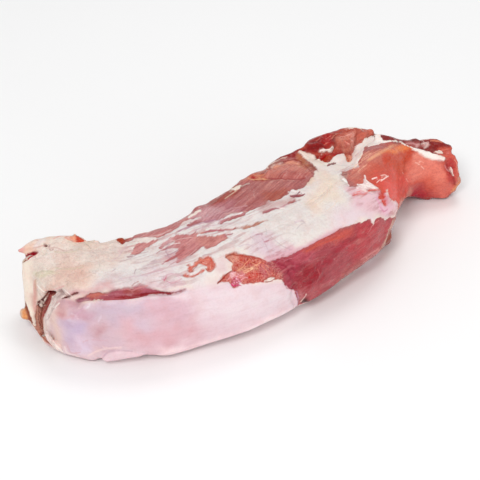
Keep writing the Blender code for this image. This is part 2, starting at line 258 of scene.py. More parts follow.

# The meat's main colour, and the colours painted over it in order: red, green, blue, softness of the
# edge in pixels, outline. Rows marked below are painted highlights and painted shade.
MEAT = colour(184, 116, 112)
# the next four rows paint the crest and the top of the tail lighter: painted highlights over the meat's own
# salmon colour
# the next row is a painted highlight along the rim of the fan-shaped muscle
# the next row is the dark red of the hole in the fold, partly the meat's colour and partly painted shade
# the next three rows are painted shade under the tail
MEAT_ZONES = rows_in("""
# back of the loin
191 126 131 9  150,228 200,203 240,183 262,190 262,205 240,216 200,226 150,245
205 139 136 3  128,244 138,232 165,224 190,212 186,224 160,240 140,240
186 115 111 6  222,196 245,180 300,176 308,182 285,196 250,206
196 130 122 4  256,184 264,180 282,180 282,187 266,189
170 88 78 4  205,207 214,194 232,186 240,190 225,202
185 104 90 5  262,198 268,190 285,188 290,192 275,203
206 122 100 2.5  238,181 246,172 256,168 267,168 268,176 262,179 250,180
176 48 38 1.6  250.5,177 251.5,174.4 254,175 255,178.6 252,179
212 138 124 2  266,173 272,167.4 282,163 293,162 301,165 307.6,170 312,176 300,177.4 288,177.4 275,177.4
189 108 101 2.4  278,176 290,171 303,172 310,176 298,178.6 284,178.6
234 168 142 1.4  270,169 276,165 284,162.6 293,161.8 300,164 307,169.4 300,166.6 293,164.2 285,164.8
    277,167.4
148 48 40 3  262,172 268,163 276,157 285,152 298,144 306,148 300,158 290,159.6 280,160.6 272,167 266,171
190 118 90 2.5  299,152 303,157 308,161 312,165 316,170 312,171 305,166 298,160
150 86 76 1.6  309,163 313,164.5 317,169.6 315,171.6 311,168
164 88 88 1.2  291,196 295,196 298,193 299,195.3 303.5,195 303,197 298,198 293,198
196 140 122 1.6  229,231 246,225 256,221.5 269,220.5 257,227 240,231
214 168 170 3  190,216 200,209 216,206 222,210 212,218 198,222
200 146 151 3  203,224 212,216 230,210 240,209 228,217 212,224
# windows in the silverskin
208 142 140 4  155,262 165,240 200,228 232,226 232,243 205,252 180,268
218 166 166 3  156,248 163,240 173,238 174,248 162,252
222 170 166 3  196,237 200,231 214,230 214,236.6 204,239
212 150 146 3  128,256 134,242 158,234 161,242 146,252
208 142 134 3  198,230 228,235 230,241 206,249 198,244
190 113 113 2  165,262 176,252 184,247 182,253 172,261
209 103 88 3  184,279 186,264 198,255 216,254 218,270 205,274 192,280
182 104 115 3  120,286 150,284 190,287 186,296 120,299 74,304 74,297 100,291
206 126 112 2.5  86,297 90,293 100,292 108,294 98,297
198 140 154 2.5  74,298 80,296 87,297 86,301.4 76,303
178 96 94 2  124,290 134,288 142,290 136,293.4 124,293
174 88 92 1.6  104,298.6 122,295.6 140,293.6 170,292.4 170,294.8 140,296.8 108,299.6
# orange patch at the end of the side fat
192 80 74 3  215,286 224,252 240,250 272,260 284,280 262,286 235,289
212 136 118 3  225,256 232,252.6 240,254 238,262 234,266 229,262
204 62 48 2  239.5,257 242,255.4 244,257 242.6,260.6 240.6,260.4
212 146 118 2  238,271 244,267 254,266 258,268.6 248,270.6 240,273.6
200 66 60 4  246,274 256,270 262,274 261,280 250,282
188 86 96 3  260,262 268,262 272,270 266,276 260,272
216 122 128 3  228,279 236,274.6 245,273 246,277 237,281 231,283
190 84 78 1.4  216,284 221,277 227,272 229.6,275 225,280.6 219,285
230 176 178 1.4  229,277 230.4,273.4 234,272 235.6,274 232,277
182 52 84 1.6  231,281 236,280 241,282.4 239.4,285.6 235,288 231,286
# big muscle on the right
176 86 92 5  268,262 300,249 340,229 398,214 404,262 340,310 285,312 278,278
171 72 86 8  270,262 284,257 300,252 306,258 300,274 294,296 282,280
160 42 60 8  298,265 310,261 322,263 323,280 311,298 300,286
166 62 72 5  316,262 334,249 352,240 354,246 340,256 322,268
188 92 102 4  290,258 301,251 314,251 312,259 299,262
184 96 100 4  302,292 318,286 324,291 313,299 303,302
202 98 90 4  302,251 315,243 330,235 345,228 353,227 352,235 340,241 325,245 310,251
190 80 85 7  350,250 358,230 378,221 390,228 382,248 360,258
184 106 103 5  342,272 370,254 384,243 390,252 365,276 338,288
198 142 120 1.4  381,249 386,240 389.6,230 393,222 396.5,214 397,219 392.4,229 388.4,241 383.6,250
156 88 74 2  386,246 389,240 391.6,231 400,232 398,246 388,252
196 126 128 2  297,298 301,292 304,296 301,304 297,307
96 22 20 1.4  302,304 304,300 308,299 306,306
# knuckle and tail
208 92 76 5  347,172 360,160 385,146 402,142 428,158 446,163 452,190 440,204 410,186 400,212 385,202 372,186
    350,182
204 132 118 6  347,174 360,160 380,149 384,153 368,170 356,184 349,182
208 114 98 6  360,170 372,164 378,166 378,178 366,178
205 86 64 6  390,156 397,150 406,150 408,168 396,174 388,168
231 100 90 7  380,180 396,174 410,178 400,200 388,196
238 134 84 3  380,152 392,147.4 401,142 411,147 404,150.6 394,152
236 172 136 1.3  367,160.4 378,152 388,146.6 397,142.4 390,148 379,154.6 370,160.6
246 168 148 5  412,157 420,155 428,163 422,170 414,166
236 138 120 9  404,168 420,156 446,160 452,176 436,182 416,180
222 122 108 5  436,186 450,178 456,186 440,200 428,197
194 88 84 5  402,206 407,193 415,187 426,188 436,196 440,206
174 50 64 3  403,204 408,194 413,190.6 421,191 427,194 424,207
168 66 62 2.4  420,207 421,197 433,197.6 434,207
206 132 116 2  398,205 404,196 410,188 411,193 404,205 398,216
# head lobe
186 92 78 3  298,151 308,138 330,128 360,124 376,132 362,143 354,152 350,163 346,160 342,154 328,162 318,157
146 0 0 4  301,152 307,140 318,135 329,138 329,147 312,154
176 52 34 3  321,134 330,132 333,140 331,147 324,146
150 40 30 3  334,131 340,131 338,138 334,145 330,148 331,140
217 136 116 5  337,137 346,131 358,133 359,146 345,150 338,146
226 156 142 4  350,133 358,132 361,138 358,146 351,145
184 76 60 2.4  335,131 343,128 352,129.6 346,133 337,136
192 96 82 2.6  343,140 347,138 350,142 346,145 343,144
204 112 96 3  357,131 368,130 373,133 362,141 357,139
176 74 58 2  313,157 322,156 335,154.6 335,158 329,163 320,162
168 26 18 1.6  316,156.6 330,152.4 344,150.4 354,150.6 344,153 330,155.2 320,158.6
230 144 114 2  346,156 350,152.6 353.4,153 351,160.6 349,162
# back strip and ragged tail end
140 24 28 2.2  378,136 380,130 398,130 416,132 448,134 455,146 446,152.6 430,150.6 414,145.4 400,141.4
    383,141
142 20 34 2  426,141 440,140.6 444,147 434,149.6 428,147.6
122 24 34 1.6  403,136 412,137 422,135 424,139 414,141 404,140
176 104 100 1.8  405,141 414,141 424,143 420,147 410,144
214 104 90 4  441,152 452,147 460,158 462,176 456,184 449,179 445,166 444,158
192 76 74 2.6  447,157 452,158 456,167 455.6,179 452.6,187 448.6,178 446,167
196 90 76 1.6  440,147 449,145.6 454,147 450,150 441,150.6
212 132 98 2.4  451,190 457,183 459,178 464,182 460,188 454,194
# blunt end and the small tabs
200 142 124 2  33,326 34,306 44,290 58,288 52,304 46,322 50,340 60,352 46,348
174 96 92 1.6  42,316 45,304 48,296 53,295 51.4,304 47,312 43.6,319
96 54 48 1.6  37.6,301 42,298 47,294.6 48.4,298 45,304 41,308 38,306
106 18 24 1.2  46,293 49,290.4 57,290.2 56.4,293.4 52,295.6 48,294.6
196 66 76 2  18,266 28,252 36,248 42,253.6 30,264
176 140 112 1.4  18,268 21.6,259.6 24,258.6 24.6,262 23,268
160 46 60 1.4  32,254 34,251 37.4,251.4 38,253.4 34.6,255.4
104 52 54 1.4  60,300 66.4,294 70,297 66,301
112 52 52 1.4  69,296 77,291 79,294 74,297
120 70 72 1.4  42,247 45.5,243.6 50,245.6 46,248.6
232 162 110 2  14,308 22,302 27,310 29,320 22,326 14,320
238 212 182 1.6  10,300 24,303 24.6,308.6 22,312 22.4,317 21,326 10,326
156 92 74 1.2  23.4,294 26.6,302 29.6,311 34,325 32,329 28.6,320 26.2,313.6 24,304
240 172 142 1.6  68,241 71,234 76,230 77.4,242 74,245
206 82 60 1.2  76,238.4 77,231 82,235 86,242 81,243.6 78,242
166 70 50 1.4  115,240 117,233 125,233 126.6,241 122,246
150 100 98 1.2  325.6,167 328,163 336,162.4 336,165.4 329,167
190 142 132 1.2  341,171 348,172 346.6,178.6 341,179
214 122 116 1.6  350,196 356,190 368,193.6 360,198
214 86 74 1.6  376,200 379,193.6 385,194.6 388,207 383,208
""")

# Colours of the white layer, painted in order in the same way. Rows marked below are painted lighter
# against shade, and one colours a painted highlight.
WHITE = colour(238, 223, 212)
# the next row colours the painted highlight on the back strip
# the next row is painted lighter along the bottom rim, painted light against the floor's shade
# the next row is painted lighter along the bottom rim, painted light against the floor's shade
# the next row is painted lighter along the slit, painted light against the shade of its crease
# the next row is painted lighter at the blunt end, painted light against the shade that falls there
WHITE_ZONES = rows_in("""
244 231 222 6  34,252 60,250 72,254 70,262 40,262
231 200 187 12  60,262 86,264 92,280 76,290 58,284
231 221 196 2.4  32,274.4 42,272.4 52,272 60,274 52,275.4 42,276.6
232 204 191 4  44,286 58,284 68,280 66,286 54,291 46,292
250 234 219 5  14,262 30,262 33,300 38,345 6,330
227 186 174 2.4  34,284 37,286 38.4,300 35.4,318 33,306
240 204 184 5  14,252 28,244 50,238 44,246 28,254
234 176 170 2  14,252 18,248.6 24,248 24,252 20,254
238 226 222 2.4  34,246 40,241.4 47,240 45,244.4 38,248.4
232 208 192 4  66,244 70,234 88,236 96,246 80,247
231 224 222 11  108,256 136,244 200,214 300,178 350,166 346,215 300,246 222,262 216,280 180,290 120,290
    98,284
221 206 207 6  96,284 130,278 160,272 158,280 120,288 96,292
230 216 218 4  142,274 154,268 172,268 170,278 152,280
223 200 203 5  158,252 170,248 182,262 180,268 164,264
240 232 230 4  238,213 250,209 256,214 246,220 236,219
229 221 217 9  262,222 318,192 344,196 334,226 290,247 262,244
216 178 178 4  66,293 84,289 112,286 110,291 92,292 72,298
220 196 200 4  148,283 160,282 178,282 187,285 182,290 150,288
228 211 213 4  196,282 216,277 232,284 228,289 200,290
229 211 202 8  80,250 100,248 132,250 130,260 112,269 96,266
212 184 182 3  258,208 268,203 280,201 292,198 294,203 280,208 264,213
226 188 150 2  303,178 311,177 314,180 309,185 303,187
236 218 204 8  314,178 336,176 338,200 310,208
221 201 208 6  248,240 262,234 282,246 290,252 272,260 252,254
234 222 216 7  216,262 232,246 250,244 246,252 228,252 222,258 229,268 216,280 206,276
226 203 203 6  216,262 223,259 230,264 226,272 219,273 214,268
229 210 214 7  336,216 350,200 368,198 372,218 342,228 326,236
230 195 202 6  348,190 368,190 384,194 396,204 396,218 372,214 356,206
222 150 160 3  377,194 384,191 390,200 390,207 382,206
238 194 208 3  377,208 380,204 386,207 392,209 390,213 382,214
228 202 200 2  358,186 364,176 378,187 368,190
208 158 154 2  414,150 414,142 420,139.6 431,141 431,148.6 424,148
220 176 186 5  264,256 278,250 290,248 291,254 280,258 269,261
220 176 184 2.4  270,259 285,253.4 300,247 325,234.6 343,226 343,231 325,241 300,253 272,264
250 240 234 3  356,166 352,158 358,144 376,132 384,140 402,142 446,158 430,160 400,146 376,146 364,150
# side fat
228 201 208 3  58,304 80,302 110,300 150,296 186,292 220,285 250,285 284,280 302,290 302,330 200,375 100,375
    46,362 46,330 50,314
235 209 198 8  49,320 55,310 66,301 74,306 62,316 58,334 64,348 52,346
204 182 206 11  66,322 80,319 88,328 84,337 70,338
208 185 199 8  84,306 112,303 150,302 148,318 112,326 88,318
222 180 188 10  122,320 192,322 200,338 160,350 126,346
216 186 196 8  90,322 108,320 118,334 112,351 94,350 88,336
206 164 170 5  91,330 98,327 106,326 106,332 96,336
217 192 204 8  134,316 148,312 152,324 140,328
220 184 194 6  150,300 186,302 190,318 176,322 152,318
233 213 218 2.4  142,297.6 152,295 172,294.6 186,291 206,287 208,293 186,299 160,300.6
234 215 220 12  206,290 280,285 290,304 240,322 206,314
247 220 224 4  158,350 200,342 240,329 292,307 300,318 240,342 200,356 160,362
207 167 180 6  76,312 84,308 96,312 92,318 80,318
229 202 206 6  80,350 98,350 102,356 97,362 80,362
252 236 238 3  240,335 262,323 290,309 297,314 262,331 242,342
210 156 158 5  57,314 63,308.6 70,310 70,315 61,318
203 163 170 4  60,306 67,302 84,301 84,308 70,309
222 201 217 6  76,342 88,338 94,346 86,354 74,350
232 204 211 1.6  101,358 106,352 114,350 130,350 146,353.6 150,368 100,368
244 234 240 1.6  84,307 88,303.4 90,304 87,307.4
# skin in the fold of the blunt end
239 223 217 2  56,291.5 63,289.5 66,294 64,299 59,303 54,309 51,316 49,325 49,335 52,343 60,350 70,356
    58,354 48,342 44,328 44,318 48,311 51,304
190 166 162 1.3  60,291 63,290 65,296 60,300 58.6,299 62,295
""")

# Where the white layer is thin and streaky: how thin, softness in pixels, outline.
THIN_ZONES = rows_in("""
0.55 6  126,246 140,236 180,226 240,208 268,200 266,212 230,226 170,240 130,256
0.3 8  112,262 160,240 230,228 240,248 200,270 190,288 118,286
0.35 6  236,232 262,228 292,250 272,262 240,252
0.5 5  348,184 366,186 386,192 398,202 392,216 372,208 352,200
0.35 3  340,170 352,166 358,168 350,186 342,184
0.3 3  44,316 50,300 58,292 66,292 60,304 52,316 50,334 58,350 50,344
""")

# Narrow creases: depth in millimetres, half width in pixels, line.
CREASES = rows_in("""
1.6 1.5  79,301 90,299.4 108,299 132,297.6 150,294.2 172,294 184,290
1.2 1.8  48,294 50,298 47,306 43,314 41.6,326 43.6,336 50,346
1.6 1.8  47,292.8 54,292.4
0.6 2.4  341,129 335,134 333,140 334.6,146 330,150
0.3 2.4  364,130 358,134 356,140 357,144 353,148
0.4 1.6  319,138 323,143 330,146
0.9 1.4  25,260 30,256 37,252
0.8 1.6  101,357 106,352.5 114,350.3 125,350.2 135,351.5 146,353.5
1 1.5  297.6,292 299,298 299.6,304 301,308
0.8 1.4  62,290 66,296 72,295 78,293
0.5 1.2  50,250.4 60,250.6 80,250.4
0.5 1.4  86,243 89,247 92,249
1.5 1.8  316,157 330,153.6 344,151.6 354,150.4
1 1.6  300,152 310,156 318,160 326,165
0.8 1.2  345.4,155 348,161.6 351.6,158.6 353.4,152 356,145 362,140.6
0.9 1.6  270,168 282,163 296,163 306,170
0.8 1.8  268,177.6 284,178.6 302,178.6
0.9 1.6  404,142.4 420,148 434,151.6 446,156
0.5 2.4  445,161 447,168 450,177 453,185
0.6 1.2  306,204 316,200 326,192 332,186
0.5 1.2  341,179 345,183 349,187
0.45 1.1  262,243 267,250 269,257
0.45 1.1  272,238 280,245 290,250
1 2  385,249 389,240 391,231
""")

# Where the meat is lumpy: height in millimetres, softness in pixels, outline.
LUMPY_ZONES = rows_in("""
1.7 5  298,152 308,136 340,124 376,128 360,146 350,162 326,162
1.2 4  410,134 456,138 466,170 460,192 448,196 444,160 424,150
0.8 4  240,182 262,166 304,146 302,160 268,172
0.9 3  224,256 240,252 270,262 280,278 240,286 218,284
0.7 5  280,262 310,252 330,262 306,304 290,290
""")

# Where the white fat lies thick and crumpled: how much, softness in pixels, outline.
CRUMPLED_ZONES = rows_in("""
1 8  34,262 30,240 60,230 118,238 128,248 112,262 94,284 66,292 44,296 36,296
0.5 8  120,244 300,184 350,170 344,214 290,248 216,262 200,284 120,288 96,288
""")

# Where pale threads run through the meat, and where its fibres are torn and tangled, in the same way.
STRINGY_ZONES = rows_in("""
0.8 8  268,262 330,236 396,216 392,246 300,308 280,280
0.06 5  346,172 366,150 404,142 452,160 462,190 404,214 372,190
0.4 4  344,180 366,150 384,146 376,164 356,184
1 6  126,262 126,236 230,186 300,160 312,176 290,196 228,244 180,268
""")
TANGLED_ZONES = rows_in("""
1 2  222,254 240,250 272,260 285,280 262,286 216,286
0.8 2  184,268 196,256 216,254 216,272 184,280
0.15 2  302,152 310,136 330,128 338,134 332,146 330,162 316,158
0.5 3  338,132 346,126 376,128 360,146 350,162 338,158 334,146
0.35 4  384,140 384,132 456,136 466,170 460,192 448,192 444,160 420,150
0.5 3  186,278 186,264 198,254 216,254 216,272
""")

# Where the edge of the white layer frays along the fibres, and where it fades softly.
FRAYED_ZONES = rows_in("""
1 3  156,244 172,234 200,232 212,246 184,268 160,266
0.5 4  126,260 130,234 180,224 240,205 300,185 312,202 250,226 160,250
0.7 3  350,186 392,186 392,212 350,200
0.5 3  180,256 218,250 218,274 182,282
0.5 2  342,164 364,142 382,138 366,156 352,174
""")
FADING_ZONES = rows_in("""
4.5 3  108,280 150,276 192,282 192,290 150,288.6 130,290 108,294
1.8 3  180,254 220,250 222,276 200,284 178,282
2.2 3  348,188 390,186 396,212 350,200
1.8 3  226,232 258,218 310,192 310,202 256,230
2 3  70,294 86,294 90,300 72,304
1.6 3  280,150 320,144 324,172 300,172
1.4 2  342,154 356,150 356,166 344,166
1.8 2  410,152 414,140 432,140 432,150 448,158 446,166 424,162
2 2  262,170 268,160 288,157 284,166
""")

# Soft swellings: height in millimetres, softness in pixels, outline.
SWOLLEN_ZONES = rows_in("""
0.8 3  101,360 104,355 112,351 126,350.4 150,354 156,366 100,368
0.7 3  266,174 275,164 292,160 304,165 311,173 306,177.5 285,178.5
0.6 2.4  358,141 360,131 370,129 375,134 366,140
0.7 4  332,148 338,134 352,130 360,136 352,147
0.6 3  168,284 168,278 174,275 183,277 184,283 176,286
""")

# Slits by the outer edge, whose walls show although they face away from the view: how much they
# count, softness in pixels, outline.
DEEP_ZONES = rows_in("""
1 2  18,268 20,253 34,248 44,249 40,257 28,266
1 2  36,330 48,330 62,352 44,352
0.4 2  380,254 386,226 402,226 400,254
""")

# Small points and tabs that stand out: the place that they grow from, then beads along them, each
# written as x,y,radius with the radius in millimetres.
SCRAPS = rows_in("""
34,247 34,247,3.2 28.5,248.6,2.6 23.6,249.8,1.5 18.8,250.7,0.45
74,240.6 74,240,1.5 75.4,234,0.35
76,241 72,240,1.5 79,240.4,1.7 84,242.4,0.9
94.6,245 94.8,244.6,1 94.2,241,0.45
96.4,245 96.2,244.6,1 97.2,241.8,0.5
120,244 118.4,239.8,0.9 122.4,240.2,1.6 122.2,243.8,0.6
27.4,314 24.6,311.4,1.7 24.6,316.4,1.8
62,343 46,336,1.8 49.2,340.2,2 53.4,344.4,2 58,347.4,1.8
197,212 194.6,209.6,1 199,207.8,0.9
""")
